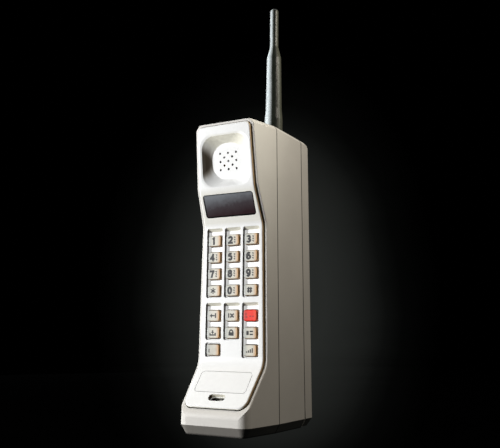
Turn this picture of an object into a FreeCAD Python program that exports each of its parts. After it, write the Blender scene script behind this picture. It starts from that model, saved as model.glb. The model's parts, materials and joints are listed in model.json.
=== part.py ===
import FreeCAD, Part
import math
import os

from FreeCAD import Matrix, Vector

# A handheld cellular telephone that stands on its base.
# Millimetres. +Z up, +X to the viewer's right, the face looks along -Y.
# The origin is under the middle of the base.

# ---------------------------------------------------------------- overall shells
BODY_HEIGHT = 220.0          # at the parting line of the two housings
BASE_WIDTH = 61.2            # at the parting line, on the ground
TOP_WIDTH = 54.0             # at the parting line, at the top
FRONT_DEPTH = 40.2           # chin to parting line
REAR_DEPTH = 42.2            # parting line to battery seam
BATTERY_DEPTH = 12.6         # battery seam to the back
FRONT_DRAFT = 3.7            # side wall draft from the parting line to the chin
REAR_DRAFT = 0.7             # side wall draft from the parting line to the back
FRONT_TOP_DROP = 1.6         # fall of the top from the parting line to the chin
FRONT_TOP_CHAMFER = (3.5, 3.8)    # in and down, at the chin
REAR_TOP_CHAMFER = (1.9, 2.5)     # in and down, from the parting line back
BASE_CHAMFER = (3.6, 6.5)    # in, up
BACK_TOP_CHAMFER = 4.2
WALL = 2.2
SEAM_GAP = 0.6
BATTERY_GAP = 0.7
SOLE_DEPTH = 0.1             # how far the form runs on below the ground, before it is cut off flat
LIP_LENGTH = 4.4             # the rear housing's lip inside the front housing
LIP_THICKNESS = 1.1

# ---------------------------------------------------------------- face profile
TOP_SETBACK = 9.6            # earpiece top edge behind the chin
BROW_SETBACK = 15.5          # bend between earpiece and display
WAIST_SETBACK = 26.1         # keypad plane behind the chin
CHIN_TOP = 14.4
WAIST_BOTTOM = 46.7
WAIST_TOP = 145.4
BROW_HEIGHT = 171.6
CHIN_ROUND = 8.0
FLARE_ROUND = 16.0
WAIST_ROUND = 14.0
BROW_ROUND = 20.0
CHIN_CORNER = 7.0
STADIUM_EASE = 0.01          # keeps a short straight side on an outline with round ends
EDGE_PROBE = 0.05            # how near an edge lies to a surface to count as on it
CHIN_EASE = 0.05             # side of the corner's form beyond the tapered wall
RIM_ROUND = 0.9              # outer edge of the rim round the face
RIM_ROUND_LOW = 30.0

# ---------------------------------------------------------------- face panel
PANEL_THICKNESS = 3.1
PANEL_PROUD = 1.7
PANEL_GAP = 0.5
PANEL_EDGE_ROUND = 1.1
RIM_WIDTH = 2.0              # the housing's rim beside the panel
PANEL_SIDE_ROUND = 60.0      # where the panel's side follows a bend of the face
TOP_RIM = 2.0
PANEL_BOTTOM = 18.0
PANEL_TOP_CORNER = 4.0
PANEL_BOTTOM_CORNER = 6.0
GASKET_THICKNESS = 0.6
GASKET_WIDTH = 0.8
GASKET_INSET = 0.3
SEAT_WIDTH = 1.3
SEAT_THICKNESS = 1.6

# ---------------------------------------------------------------- keypad
COLUMN_PITCH = 15.15
ROW_PITCH = 12.1
FIRST_ROW = 134.8
BLOCK_GAP = 5.7              # extra space between the dialling and function blocks
KEY_WIDTH = 11.0
KEY_HEIGHT = 8.2
KEY_CORNER = 1.8
KEY_EDGE_ROUND = 0.9
KEY_PROUD = 0.3
KEY_CLEARANCE = 0.35
KEY_TRAVEL = 0.8
KEY_PLAY = 0.1
FLANGE_MARGIN = 1.0
FLANGE_THICKNESS = 0.8
CHANNEL_MARGIN = 1.1         # channel wall to key side
CHANNEL_DEPTH = 2.6
CHANNEL_CORNER = 1.6
CHANNEL_HEAD = 5.0           # free channel above its first key
CHANNEL_TAIL = 1.0           # and below its last key
CHANNEL_RAMP = 2.2
RAMP_LIP = 0.1
WORN_KEY_MARGIN = 1.0
FLOOR_THICKNESS = 1.2
KEY_BLOCK_WALL = 1.0
MAT_THICKNESS = 1.0
DOME_HEIGHT = 1.9
DOME_BASE_RADIUS = 3.4
DOME_TOP_RADIUS = 2.2
BOARD_THICKNESS = 1.6
BOARD_CORNER = 1.5

# ---------------------------------------------------------------- earpiece
DISH_HEIGHT_CENTRE = 191.0
DISH_WIDTH = 41.0
DISH_LENGTH = 39.5
DISH_CORNER = 9.5
DISH_DEPTH = 5.2
DISH_FLOOR_WIDTH = 27.0
DISH_FLOOR_LENGTH = 26.5
DISH_FLOOR_CORNER = 12.0
DISH_WALL = 1.4
DISH_PROFILE = [             # share of the depth, share of the closing in
    (0.0, 0.0), (0.05, 0.18), (0.35, 0.45), (0.75, 0.78), (1.0, 1.0),
]
EAR_HOLE_RADIUS = 0.8
EAR_PITCH_X = 6.7
EAR_PITCH_Z = 5.95
SPEAKER_RADIUS = 14.0
SPEAKER_DEPTH = 6.0
EAR_GASKET_WIDTH = 2.0
EAR_GASKET_DEPTH = 1.0

# ---------------------------------------------------------------- display
WINDOW_CENTRE = 160.0
WINDOW_WIDTH = 41.8
WINDOW_LENGTH = 17.2
WINDOW_CORNER = 2.2
WINDOW_SUNK = 0.2
WINDOW_THICKNESS = 1.2
WINDOW_CLEARANCE = 0.1
WINDOW_LEDGE = 1.0
DISPLAY_DEPTH = 6.0
DISPLAY_DIGITS = 8
DIGIT_SIZE = (2.6, 4.6, 0.6)

# ---------------------------------------------------------------- mouthpiece and name plate
MIC_HEIGHT = 24.0
MIC_SLOT_LENGTH = 13.3
MIC_SLOT_WIDTH = 5.2
MIC_SLOT_DEPTH = 3.3
MIC_LEDGE = 0.5              # narrow floor round the hole in the slot
MIC_FLOOR = 0.7
MIC_COLLAR = 1.0
MIC_PORT_RADIUS = 2.0
MIC_RADIUS = 2.8
MIC_DEPTH = 3.0
MIC_BOOT_WALL = 0.8
PLATE_CENTRE = 34.0
PLATE_WIDTH = 40.6
PLATE_LENGTH = 17.0
PLATE_CORNER = 2.6
PLATE_THICKNESS = 0.4
PLATE_GROOVE = 0.3

# ---------------------------------------------------------------- antenna
ANTENNA_X = 14.6
ANTENNA_BEHIND_SEAM = 18.6
ANTENNA_GAP = 0.3
BASE_FLARE_RADIUS = 6.85
FLARE_TOP = 19.7             # heights above the body's top
FLARE_STRAIGHT = 10.8
SLEEVE_RADIUS = 5.5
SLEEVE_LOW_RADIUS = 6.1
SLEEVE_TOP = 61.0
TAPER_TOP = 70.4
WHIP_RADIUS = 3.2
WHIP_TOP = 94.6
TIP_HEIGHT = 7.0
TIP_RADIUS = 3.2
TIP_ROUND = 1.9
BUSHING_RADIUS = 4.5
BUSHING_FLANGE = 1.0
BUSHING_LENGTH = 14.0
STUD_RADIUS = 2.0
RUNNING_CLEARANCE = 0.05
SPIGOT_RADIUS = 1.6
SPIGOT_LENGTH = 10.0
THREAD_LEAD = 1.0
FEED_RADIUS = 1.1

# ---------------------------------------------------------------- insides
CHASSIS_BEHIND_BOARD = 2.9
CHASSIS_THICKNESS = 1.6
CHASSIS_MARGIN = 0.4
SCREW_X = 19.0
SCREW_LOW = 15.0
SCREW_BELOW_TOP = 22.0
SCREW_RADIUS = 1.25
SCREW_HEAD_RADIUS = 2.3
SCREW_HEAD_HEIGHT = 1.4
SCREW_CLEARANCE = 0.15
SCREW_BITE = 8.0
BOSS_RADIUS = 3.3
POST_RADIUS = 2.2
POST_ROWS = (1, 5)           # key rows behind which the keypad board is held
BOARD_SCREW_RADIUS = 1.0
BOARD_SCREW_HEAD = 1.9
BOARD_SCREW_HEAD_HEIGHT = 1.2
BOARD_SCREW_BITE = 1.8
BOARD_SCREW_INSET = 4.0
RADIO_SCREW_INSET = 2.4
LOGIC_WIDTH = 36.0
LOGIC_LOW = 24.0
LOGIC_HIGH = 176.0
LOGIC_STANDOFF = 2.0
CAN_WALL = 0.5
LOGIC_CAN = (30.0, 4.0, 60.0)
RADIO_BEHIND_LOGIC = 12.0
RADIO_SIDE_GAP = 1.6         # to the housing's side wall at the board's top
RADIO_LOW = 34.0
RADIO_HIGH = 190.0
RADIO_CAN = (38.0, 9.0, 46.0)
RADIO_CAN_CENTRE = 118.0
AMPLIFIER = (34.0, 7.0, 30.0)
AMPLIFIER_CENTRE = 70.0
FIN_COUNT = 6
FIN_THICKNESS = 1.6
FIN_HEIGHT = 3.5
DUPLEXER = (38.0, 13.0, 30.0)
DUPLEXER_CENTRE = 166.0

# ---------------------------------------------------------------- base connector
SOCKET_WIDTH = 26.0
SOCKET_DEPTH = 8.4
SOCKET_HEIGHT = 7.0
SOCKET_WALL = 1.4
SOCKET_BEHIND_SEAM = 14.0
CONTACT_COUNT = 7
CONTACT_RADIUS = 0.6
CONTACT_PROUD = 0.8

# ---------------------------------------------------------------- battery
CELL_RADIUS = 8.2
CELL_LENGTH = 49.0
CELL_GAP = 0.3
CELL_ROWS = 3
CELL_LOW = 31.0
CELL_CLEARANCE = 0.2
CELL_TIP_RADIUS = 2.6
CELL_TIP_HEIGHT = 1.0
LINK_THICKNESS = 0.3
BATTERY_WALL = 1.6
BAY_CLEARANCE = 0.8
BAY_WALL = 1.6
PLATE_SUNK = 0.7
CASE_PLATE = 1.8
CASE_FIT = 0.15
TERMINAL_SIZE = (5.0, 8.0)
TERMINAL_THICKNESS = 0.4
TERMINAL_PITCH = 12.0
TERMINAL_BELOW = 8.0         # under the belly's top
SPRING_RISE = 0.45
HINGE_BEHIND_SEAM = 6.5
HINGE_HEIGHT = 3.6
PIN_RADIUS = 1.25
LUG_RADIUS = 2.6
LUG_X = 14.0
LUG_WIDTH = 5.0
HOOK_X = 7.0
HOOK_WIDTH = 5.0
HOOK_RADIUS = 2.8
HINGE_SIDE_GAP = 0.6
BATTERY_LIFT = 0.8           # the pack's foot above the ground, so that it can tilt
FOOT_RELIEF = 0.9
FOOT_RELIEF_HEIGHT = 14.0

# ---------------------------------------------------------------- battery latch
LATCH_WIDTH = 45.0
LATCH_LENGTH = 5.6
LATCH_HEIGHT = 1.7
LATCH_GAP = 0.1
LATCH_TRAVEL = 2.5
LATCH_SETBACK = 1.2          # free end behind the battery seam's front edge
STEM_WIDTH = 16.0
STEM_LENGTH = 2.6
STEM_DROP = 5.0
STEM_CLEARANCE = 0.3
CATCH_WIDTH = 10.0
CATCH_THICKNESS = 0.5
CATCH_REACH = 3.4
CATCH_HOOK = 1.6
CATCH_RAMP = 2.0             # how far the sliding stem presses the catch down
CATCH_DROP = 7.0             # below the top
POCKET_MARGIN = 0.6

# ---------------------------------------------------------------- places worked out from the sizes
CHIN_Y = -(FRONT_DEPTH + REAR_DEPTH + BATTERY_DEPTH) / 2
SEAM_Y = CHIN_Y + FRONT_DEPTH
LIP_FRONT_Y = SEAM_Y - LIP_LENGTH
BATTERY_Y = SEAM_Y + REAR_DEPTH
BACK_Y = BATTERY_Y + BATTERY_DEPTH
WAIST_Y = CHIN_Y + WAIST_SETBACK
FAR = 2 * BODY_HEIGHT
FLOOR_BACK_Y = WAIST_Y - PANEL_PROUD + CHANNEL_DEPTH + FLOOR_THICKNESS
FLANGE_BACK_Y = FLOOR_BACK_Y + KEY_PLAY + FLANGE_THICKNESS
MAT_FRONT_Y = FLANGE_BACK_Y + DOME_HEIGHT
BOARD_FRONT_Y = MAT_FRONT_Y + MAT_THICKNESS
BOARD_BACK_Y = BOARD_FRONT_Y + BOARD_THICKNESS
CHASSIS_FRONT_Y = BOARD_BACK_Y + CHASSIS_BEHIND_BOARD
CHASSIS_BACK_Y = CHASSIS_FRONT_Y + CHASSIS_THICKNESS
LOGIC_FRONT_Y = CHASSIS_BACK_Y + LOGIC_STANDOFF
LOGIC_BACK_Y = LOGIC_FRONT_Y + BOARD_THICKNESS
RADIO_FRONT_Y = LOGIC_BACK_Y + RADIO_BEHIND_LOGIC
RADIO_BACK_Y = RADIO_FRONT_Y + BOARD_THICKNESS
BATTERY_FRONT_Y = BATTERY_Y + BATTERY_GAP
CELL_Y = BACK_Y - BATTERY_WALL - CELL_CLEARANCE - CELL_RADIUS
BELLY_FRONT_Y = CELL_Y - CELL_RADIUS - CELL_CLEARANCE - BATTERY_WALL
BAY_FLOOR_Y = BELLY_FRONT_Y - SPRING_RISE - CELL_CLEARANCE
BAY_WALL_FRONT_Y = BAY_FLOOR_Y - BAY_WALL
CELL_X = CELL_RADIUS + CELL_GAP / 2
CELL_HIGH = CELL_LOW + CELL_ROWS * (CELL_LENGTH + CELL_TIP_HEIGHT + LINK_THICKNESS) + LINK_THICKNESS
BELLY_HALF = CELL_X + CELL_RADIUS + CELL_CLEARANCE + BATTERY_WALL
BELLY_LOW = CELL_LOW - CELL_CLEARANCE - BATTERY_WALL
BELLY_HIGH = CELL_HIGH + CELL_CLEARANCE + BATTERY_WALL
TERMINAL_HEIGHT = BELLY_HIGH - TERMINAL_BELOW
PIVOT_Y = BATTERY_Y + HINGE_BEHIND_SEAM
ANTENNA_Y = SEAM_Y + ANTENNA_BEHIND_SEAM
SOCKET_Y = SEAM_Y + SOCKET_BEHIND_SEAM
LATCH_BACK_Y = BATTERY_Y - LATCH_SETBACK
LATCH_FRONT_Y = LATCH_BACK_Y - LATCH_LENGTH
STEM_FRONT_Y = (LATCH_FRONT_Y + LATCH_BACK_Y - STEM_LENGTH) / 2
STEM_BACK_Y = STEM_FRONT_Y + STEM_LENGTH
SLOT_FRONT_Y = STEM_FRONT_Y - LATCH_TRAVEL - STEM_CLEARANCE
CATCH_Z = BODY_HEIGHT - CATCH_DROP
SCREW_HIGH = BODY_HEIGHT - SCREW_BELOW_TOP
MIC_BACK = PANEL_PROUD - MIC_SLOT_DEPTH - MIC_FLOOR


# ---------------------------------------------------------------- drawing helpers
def in_side_view(x):
    return lambda u, v: Vector(x, u, v)


def in_front_view(y):
    return lambda u, v: Vector(u, y, v)


def in_plan_view(z):
    return lambda u, v: Vector(u, v, z)


def rounded_wire(corners, place):
    """A closed wire through corners (u, v, radius), set in space by place(u, v)."""
    count = len(corners)
    ends = []
    for i in range(count):
        u, v, radius = corners[i]
        before, after = corners[i - 1], corners[(i + 1) % count]
        to_before = Vector(before[0] - u, before[1] - v, 0).normalize()
        to_after = Vector(after[0] - u, after[1] - v, 0).normalize()
        corner = Vector(u, v, 0)
        turn = math.pi - to_before.getAngle(to_after)
        if radius <= 0 or turn < math.radians(0.1):
            ends.append((corner, None, corner))
            continue
        reach = radius * math.tan(turn / 2)
        first, last = corner + to_before * reach, corner + to_after * reach
        inward = (to_before + to_after).normalize()
        centre = corner + inward * (radius / math.cos(turn / 2))
        ends.append((first, centre - inward * radius, last))
    edges = []
    for i in range(count):
        first, middle, last = [p and place(p.x, p.y) for p in ends[i]]
        if middle:
            edges.append(Part.Arc(first, middle, last).toShape())
        start = place(ends[(i + 1) % count][0].x, ends[(i + 1) % count][0].y)
        if last.distanceToPoint(start) > 1e-6:
            edges.append(Part.LineSegment(last, start).toShape())
    return Part.Wire(edges)


def prism(corners, place, along):
    return Part.Face(rounded_wire(corners, place)).extrude(along)


def inset(corners, distance):
    """The same closed outline moved inwards by distance. It runs anticlockwise in its view."""
    count = len(corners)
    moved = []
    for i in range(count):
        (au, av, _), (bu, bv, radius), (cu, cv, _) = corners[i - 1], corners[i], corners[(i + 1) % count]
        d1 = Vector(bu - au, bv - av, 0).normalize()
        d2 = Vector(cu - bu, cv - bv, 0).normalize()
        n1, n2 = Vector(-d1.y, d1.x, 0), Vector(-d2.y, d2.x, 0)
        bisector = (n1 + n2).normalize()
        shift = bisector * (distance / bisector.dot(n1))
        eased = radius - distance if d1.cross(d2).z > 0 else radius + distance
        moved.append((bu + shift.x, bv + shift.y, max(0.0, eased)))
    return moved


def rectangle(width, length, radius=0.0, u=0.0, v=0.0):
    w, h = width / 2, length / 2
    return [(u - w, v - h, radius), (u + w, v - h, radius), (u + w, v + h, radius), (u - w, v + h, radius)]


def box(x0, x1, y0, y1, z0, z1):
    return Part.makeBox(x1 - x0, y1 - y0, z1 - z0, Vector(x0, y0, z0))


def rod(radius, start, end):
    return Part.makeCylinder(radius, (end - start).Length, start, end - start)


def fused(shapes):
    return shapes[0].multiFuse(shapes[1:]).removeSplitter() if len(shapes) > 1 else shapes[0]


# ---------------------------------------------------------------- the outer form
def half_width(z):
    return (BASE_WIDTH + (TOP_WIDTH - BASE_WIDTH) * z / BODY_HEIGHT) / 2


RADIO_HALF = half_width(RADIO_HIGH) - WALL - RADIO_SIDE_GAP


def section(y, wall=0.0):
    """The body's outline in front view at depth y, less a wall all round. It runs on below the ground."""
    if y < SEAM_Y:
        share = (SEAM_Y - y) / FRONT_DEPTH
        draft, top = FRONT_DRAFT * share, BODY_HEIGHT - FRONT_TOP_DROP * share
        across, down = [r + (f - r) * share for f, r in zip(FRONT_TOP_CHAMFER, REAR_TOP_CHAMFER)]
    else:
        share = (y - SEAM_Y) / (REAR_DEPTH + BATTERY_DEPTH)
        draft, top = REAR_DRAFT * share, BODY_HEIGHT
        across, down = REAR_TOP_CHAMFER
    sole_in = BASE_CHAMFER[0] * (1 + SOLE_DEPTH / BASE_CHAMFER[1])
    right = [
        (half_width(0) - draft - sole_in, -SOLE_DEPTH, 0.0),
        (half_width(BASE_CHAMFER[1]) - draft, BASE_CHAMFER[1], 0.0),
        (half_width(top) - draft, top - down, 0.0),
        (half_width(top) - draft - across, top, 0.0),
    ]
    left = [(-u, v, r) for u, v, r in reversed(right)]
    return inset(right + left, wall)


def body_block(y0, y1, wall=0.0):
    ends = [rounded_wire(section(y, wall), in_front_view(y)) for y in (y0, y1)]
    above_ground = box(-FAR, FAR, y0 - FAR, y1 + FAR, wall, FAR)
    return Part.makeLoft(ends, True, True).common(above_ground)


def front_curve(depth):
    """Corners (y, z, radius) of the face profile from top to bottom, moved inwards by depth."""
    points = [
        (CHIN_Y + TOP_SETBACK, BODY_HEIGHT, 0.0),
        (CHIN_Y + BROW_SETBACK, BROW_HEIGHT, BROW_ROUND),
        (WAIST_Y, WAIST_TOP, WAIST_ROUND),
        (WAIST_Y, WAIST_BOTTOM, FLARE_ROUND),
        (CHIN_Y, CHIN_TOP, CHIN_ROUND),
        (CHIN_Y, 0.0, 0.0),
    ]
    lines = []
    for (y0, z0, _), (y1, z1, _) in zip(points, points[1:]):
        run = Vector(y1 - y0, z1 - z0, 0).normalize()
        inward = Vector(-run.y, run.x, 0)
        lines.append((Vector(y0, z0, 0) + inward * depth, run))
    first, last = lines[0], lines[-1]
    start = first[0] - first[1] * BODY_HEIGHT
    end = last[0] + last[1] * BODY_HEIGHT
    curve = [(start.x, start.y, 0.0)]
    for (p, d), (q, e), (_, _, radius) in zip(lines, lines[1:], points[1:]):
        reach = (q - p).cross(e).z / d.cross(e).z
        meet = p + d * reach
        bulges = d.cross(e).z > 0
        curve.append((meet.x, meet.y, radius - depth if bulges else radius + depth))
    curve.append((end.x, end.y, 0.0))
    return curve


def behind_face(depth):
    """Everything behind the face profile moved inwards by depth."""
    curve = front_curve(depth)
    corners = curve + [(FAR, curve[-1][1], 0.0), (FAR, curve[0][1], 0.0)]
    return prism(corners, in_side_view(-FAR), Vector(2 * FAR, 0, 0))


def skin(outer, inner):
    """The layer between two depths under the face profile."""
    corners = front_curve(outer) + list(reversed(front_curve(inner)))
    return prism(corners, in_side_view(-FAR), Vector(2 * FAR, 0, 0))


def panel_outline(grow=0.0):
    """The face panel's outline in front view, grown all round. Its sides run beside the body's."""
    top_at_face = BODY_HEIGHT - FRONT_TOP_DROP * (FRONT_DEPTH - TOP_SETBACK) / FRONT_DEPTH
    foot_share = (PANEL_BOTTOM - CHIN_TOP) / (WAIST_BOTTOM - CHIN_TOP)
    bends = [
        (WAIST_SETBACK * foot_share, PANEL_BOTTOM, PANEL_BOTTOM_CORNER),
        (WAIST_SETBACK, WAIST_BOTTOM, PANEL_SIDE_ROUND),
        (WAIST_SETBACK, WAIST_TOP, PANEL_SIDE_ROUND),
        (BROW_SETBACK, BROW_HEIGHT, PANEL_SIDE_ROUND),
        (TOP_SETBACK, top_at_face - TOP_RIM, PANEL_TOP_CORNER),
    ]
    right = []
    for setback, z, radius in bends:
        side = half_width(z) - FRONT_DRAFT * (FRONT_DEPTH - setback) / FRONT_DEPTH
        right.append((side - RIM_WIDTH - PANEL_GAP, z, radius))
    left = [(-u, v, r) for u, v, r in reversed(right)]
    return inset(right + left, -grow)


def panel_prism(grow=0.0):
    return prism(panel_outline(grow), in_front_view(-FAR), Vector(0, FAR + SEAM_Y, 0))


FLATS = ("earpiece", "display", "keypad", "flare")


def face_frame(flat, height):
    """Placement on one of the face's flats: X right, Y up the face, Z out of it."""
    ends = list(zip(front_curve(0.0), front_curve(0.0)[1:]))
    (y1, z1, _), (y0, z0, _) = dict(zip(FLATS, ends))[flat]
    up = Vector(0, y1 - y0, z1 - z0).normalize()
    out = Vector(1, 0, 0).cross(up)
    origin = Vector(0, y0, z0) + up * ((height - z0) / up.z)
    return Matrix(
        1, up.x, out.x, origin.x,
        0, up.y, out.y, origin.y,
        0, up.z, out.z, origin.z,
        0, 0, 0, 1,
    )


def on_face(shape, frame):
    return shape.transformShape(frame, True)


def plate(corners, low, high):
    return prism(corners, in_plan_view(low), Vector(0, 0, high - low))


EAR_FRAME = face_frame("earpiece", DISH_HEIGHT_CENTRE)
DISPLAY_FRAME = face_frame("display", WINDOW_CENTRE)
MIC_FRAME = face_frame("flare", MIC_HEIGHT)
PLATE_FRAME = face_frame("flare", PLATE_CENTRE)


# ---------------------------------------------------------------- key places
def row_height(row):
    return FIRST_ROW - row * ROW_PITCH - (BLOCK_GAP if row >= 4 else 0.0)


KEYS = {
    "key_1": (-1, 0), "key_2": (0, 0), "key_3": (1, 0),
    "key_4": (-1, 1), "key_5": (0, 1), "key_6": (1, 1),
    "key_7": (-1, 2), "key_8": (0, 2), "key_9": (1, 2),
    "key_star": (-1, 3), "key_0": (0, 3), "key_hash": (1, 3),
    "key_recall": (-1, 4), "key_clear": (0, 4), "key_send": (1, 4),
    "key_store": (-1, 5), "key_lock": (0, 5), "key_end": (1, 5),
    "key_power": (-1, 6), "key_volume": (1, 6),
}
CHANNELS = [(-1, 0, 3), (0, 0, 3), (1, 0, 3), (-1, 4, 5), (0, 4, 5), (1, 4, 6)]
LAST_ROW = max(row for _, row in KEYS.values())


def key_place(name):
    column, row = KEYS[name]
    return column * COLUMN_PITCH, row_height(row)


# ---------------------------------------------------------------- housings
def screw_places():
    return [(side * SCREW_X, z) for side in (-1, 1) for z in (SCREW_LOW, SCREW_HIGH)]


def boss(x, z, y0, y1, rib0, rib1):
    """A screw boss from y0 to y1, tied to the side wall beside it by a rib from rib0 to rib1."""
    column = rod(BOSS_RADIUS, Vector(x, y0, z), Vector(x, y1, z))
    wall_x = math.copysign(half_width(z) - WALL / 2, x)
    rib = box(min(x, wall_x), max(x, wall_x), rib0, rib1, z - WALL / 2, z + WALL / 2)
    return column.fuse(rib)


def chin_outline(z, taken):
    """Plan of the chin's rounded corners at height z, with taken off all round."""
    half_back = half_width(z) + CHIN_EASE - taken
    corners = [
        (half_back, SEAM_Y, 0.0),
        (-half_back, SEAM_Y, 0.0),
        (FRONT_DRAFT - half_back, CHIN_Y + taken, CHIN_CORNER - taken),
        (half_back - FRONT_DRAFT, CHIN_Y + taken, CHIN_CORNER - taken),
    ]
    return rounded_wire(corners, in_plan_view(z))


def chin_limit(wall):
    """The space inside the chin's rounded corners and the bevel that runs round its foot, less a wall."""
    inwards, bevel_top = BASE_CHAMFER
    edge = chin_outline(bevel_top, wall)
    foot = Part.makeLoft([chin_outline(0.0, wall + inwards), edge], True, True)
    column = Part.makeLoft([edge, chin_outline(BODY_HEIGHT, wall)], True, True)
    return foot.fuse(column)


def round_rim(block):
    """Round the block's outer edges along the face, from the flare up to the top bevel."""
    face = skin(-EDGE_PROBE, EDGE_PROBE)
    edges = []
    for edge in block.Edges:
        middle = edge.valueAt((edge.FirstParameter + edge.LastParameter) / 2)
        beside = half_width(middle.z) - FRONT_DRAFT - abs(middle.x) < WALL / 2
        if beside and edge.BoundBox.ZMin > RIM_ROUND_LOW and face.isInside(middle, EDGE_PROBE, True):
            edges.append(edge)
    return block.makeFillet(RIM_ROUND, edges)


def make_front_housing():
    back = SEAM_Y - SEAM_GAP / 2
    block = body_block(CHIN_Y, back).common(behind_face(0.0)).common(chin_limit(0.0))
    block = round_rim(block.removeSplitter())
    seat = PANEL_THICKNESS - PANEL_PROUD + GASKET_THICKNESS
    cavity = body_block(CHIN_Y, back, WALL).common(behind_face(seat + SEAT_THICKNESS))
    housing = block.cut(cavity.common(chin_limit(WALL)))
    recess = panel_prism(PANEL_GAP).common(skin(-FAR / 4, seat))
    opening = panel_prism(PANEL_GAP - SEAT_WIDTH).common(skin(0.0, seat + 2 * SEAT_THICKNESS))
    housing = housing.cut(recess).cut(opening)
    for x, z in screw_places():
        tip = CHASSIS_FRONT_Y - SCREW_BITE - SCREW_CLEARANCE
        rib_end = LIP_FRONT_Y - SEAM_GAP
        post = boss(x, z, tip - WALL, CHASSIS_FRONT_Y, tip - WALL, rib_end)
        housing = housing.fuse(post.common(body_block(CHIN_Y, back, WALL / 2)))
        housing = housing.cut(rod(SCREW_RADIUS, Vector(x, tip, z), Vector(x, CHASSIS_FRONT_Y, z)))
    return housing.removeSplitter()


def bay_outline(clearance):
    height = BELLY_HIGH - BELLY_LOW + 2 * clearance
    return rectangle(2 * (BELLY_HALF + clearance), height, WALL, 0.0, (BELLY_HIGH + BELLY_LOW) / 2)


def make_rear_housing():
    front = SEAM_Y + SEAM_GAP / 2
    cavity = body_block(front, BATTERY_Y - WALL, WALL)
    bay_form = bay_outline(BAY_CLEARANCE + BAY_WALL)
    bay_walls = prism(bay_form, in_front_view(BAY_WALL_FRONT_Y), Vector(0, FAR, 0))
    housing = body_block(front, BATTERY_Y).cut(cavity.cut(bay_walls))
    housing = housing.cut(prism(bay_outline(BAY_CLEARANCE), in_front_view(BAY_FLOOR_Y), Vector(0, FAR, 0)))
    lip = body_block(LIP_FRONT_Y, front, WALL + CASE_FIT)
    lip = lip.cut(body_block(LIP_FRONT_Y, front, WALL + CASE_FIT + LIP_THICKNESS))
    lip_back = body_block(front, front + WALL, WALL / 2)
    lip_back = lip_back.cut(body_block(front, front + WALL, WALL + CASE_FIT + LIP_THICKNESS))
    housing = housing.fuse(lip).fuse(lip_back).fuse(catch_block())
    for x, z in screw_places():
        housing = housing.fuse(boss(x, z, CHASSIS_BACK_Y, BATTERY_Y, front, BATTERY_Y))
        hole = rod(SCREW_RADIUS + SCREW_CLEARANCE, Vector(x, CHASSIS_BACK_Y, z), Vector(x, BATTERY_Y, z))
        seat, mouth = Vector(x, BAY_FLOOR_Y, z), Vector(x, BATTERY_Y, z)
        housing = housing.cut(hole).cut(rod(SCREW_HEAD_RADIUS + SCREW_CLEARANCE, seat, mouth))
    housing = housing.fuse(make_antenna_seat()).cut(antenna_hole())
    housing = housing.cut(socket_hole())
    for side in (-1, 1):
        housing = housing.fuse(lug(side * LUG_X))
    pin_hole = rod(PIN_RADIUS, Vector(-FAR, PIVOT_Y, HINGE_HEIGHT), Vector(FAR, PIVOT_Y, HINGE_HEIGHT))
    housing = housing.cut(pin_hole)
    housing = housing.cut(latch_pocket())
    return housing.removeSplitter()


def lug(x):
    """A tab on the rear housing's foot that carries the battery's hinge pin."""
    x0, x1 = x - LUG_WIDTH / 2, x + LUG_WIDTH / 2
    low, high = HINGE_HEIGHT - LUG_RADIUS, HINGE_HEIGHT + LUG_RADIUS
    eye = rod(LUG_RADIUS, Vector(x0, PIVOT_Y, HINGE_HEIGHT), Vector(x1, PIVOT_Y, HINGE_HEIGHT))
    return eye.fuse(box(x0, x1, BATTERY_Y - WALL, PIVOT_Y, low, high))


def make_antenna_seat():
    bottom = Vector(ANTENNA_X, ANTENNA_Y, BODY_HEIGHT - BUSHING_LENGTH)
    return rod(BUSHING_RADIUS + WALL, bottom, Vector(ANTENNA_X, ANTENNA_Y, BODY_HEIGHT - WALL / 2))


def antenna_hole():
    bottom = Vector(ANTENNA_X, ANTENNA_Y, BODY_HEIGHT - BUSHING_LENGTH - WALL)
    return rod(BUSHING_RADIUS, bottom, Vector(ANTENNA_X, ANTENNA_Y, BODY_HEIGHT + WALL))


def socket_hole():
    width, depth = SOCKET_WIDTH + 2 * SOCKET_WALL, SOCKET_DEPTH + 2 * SOCKET_WALL
    return box(-width / 2, width / 2, SOCKET_Y - depth / 2, SOCKET_Y + depth / 2, -WALL, 2 * WALL)


def catch_block():
    """The block under the top that guides the latch and holds the foot of the catch spring."""
    half = STEM_WIDTH / 2 + STEM_CLEARANCE + WALL
    low = CATCH_Z - CATCH_THICKNESS - CATCH_RAMP - POCKET_MARGIN - WALL
    return box(-half, half, SLOT_FRONT_Y - CATCH_REACH, BATTERY_Y - WALL / 2, low, BODY_HEIGHT - WALL / 2)


def latch_pocket():
    """The slot for the latch's stem, and the room for the catch spring under it."""
    stem = STEM_WIDTH / 2 + STEM_CLEARANCE
    low = CATCH_Z - CATCH_THICKNESS - CATCH_RAMP - POCKET_MARGIN
    slot = box(-stem, stem, SLOT_FRONT_Y, STEM_BACK_Y + STEM_CLEARANCE, low, BODY_HEIGHT + WALL)
    half = CATCH_WIDTH / 2 + POCKET_MARGIN
    tunnel = box(-half, half, SLOT_FRONT_Y, BATTERY_Y + WALL, low, CATCH_Z + CATCH_HOOK + POCKET_MARGIN)
    foot = box(-CATCH_WIDTH / 2, CATCH_WIDTH / 2, SLOT_FRONT_Y - CATCH_REACH, SLOT_FRONT_Y,
               CATCH_Z - CATCH_THICKNESS, CATCH_Z)
    return fused([slot, tunnel, foot])


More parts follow.
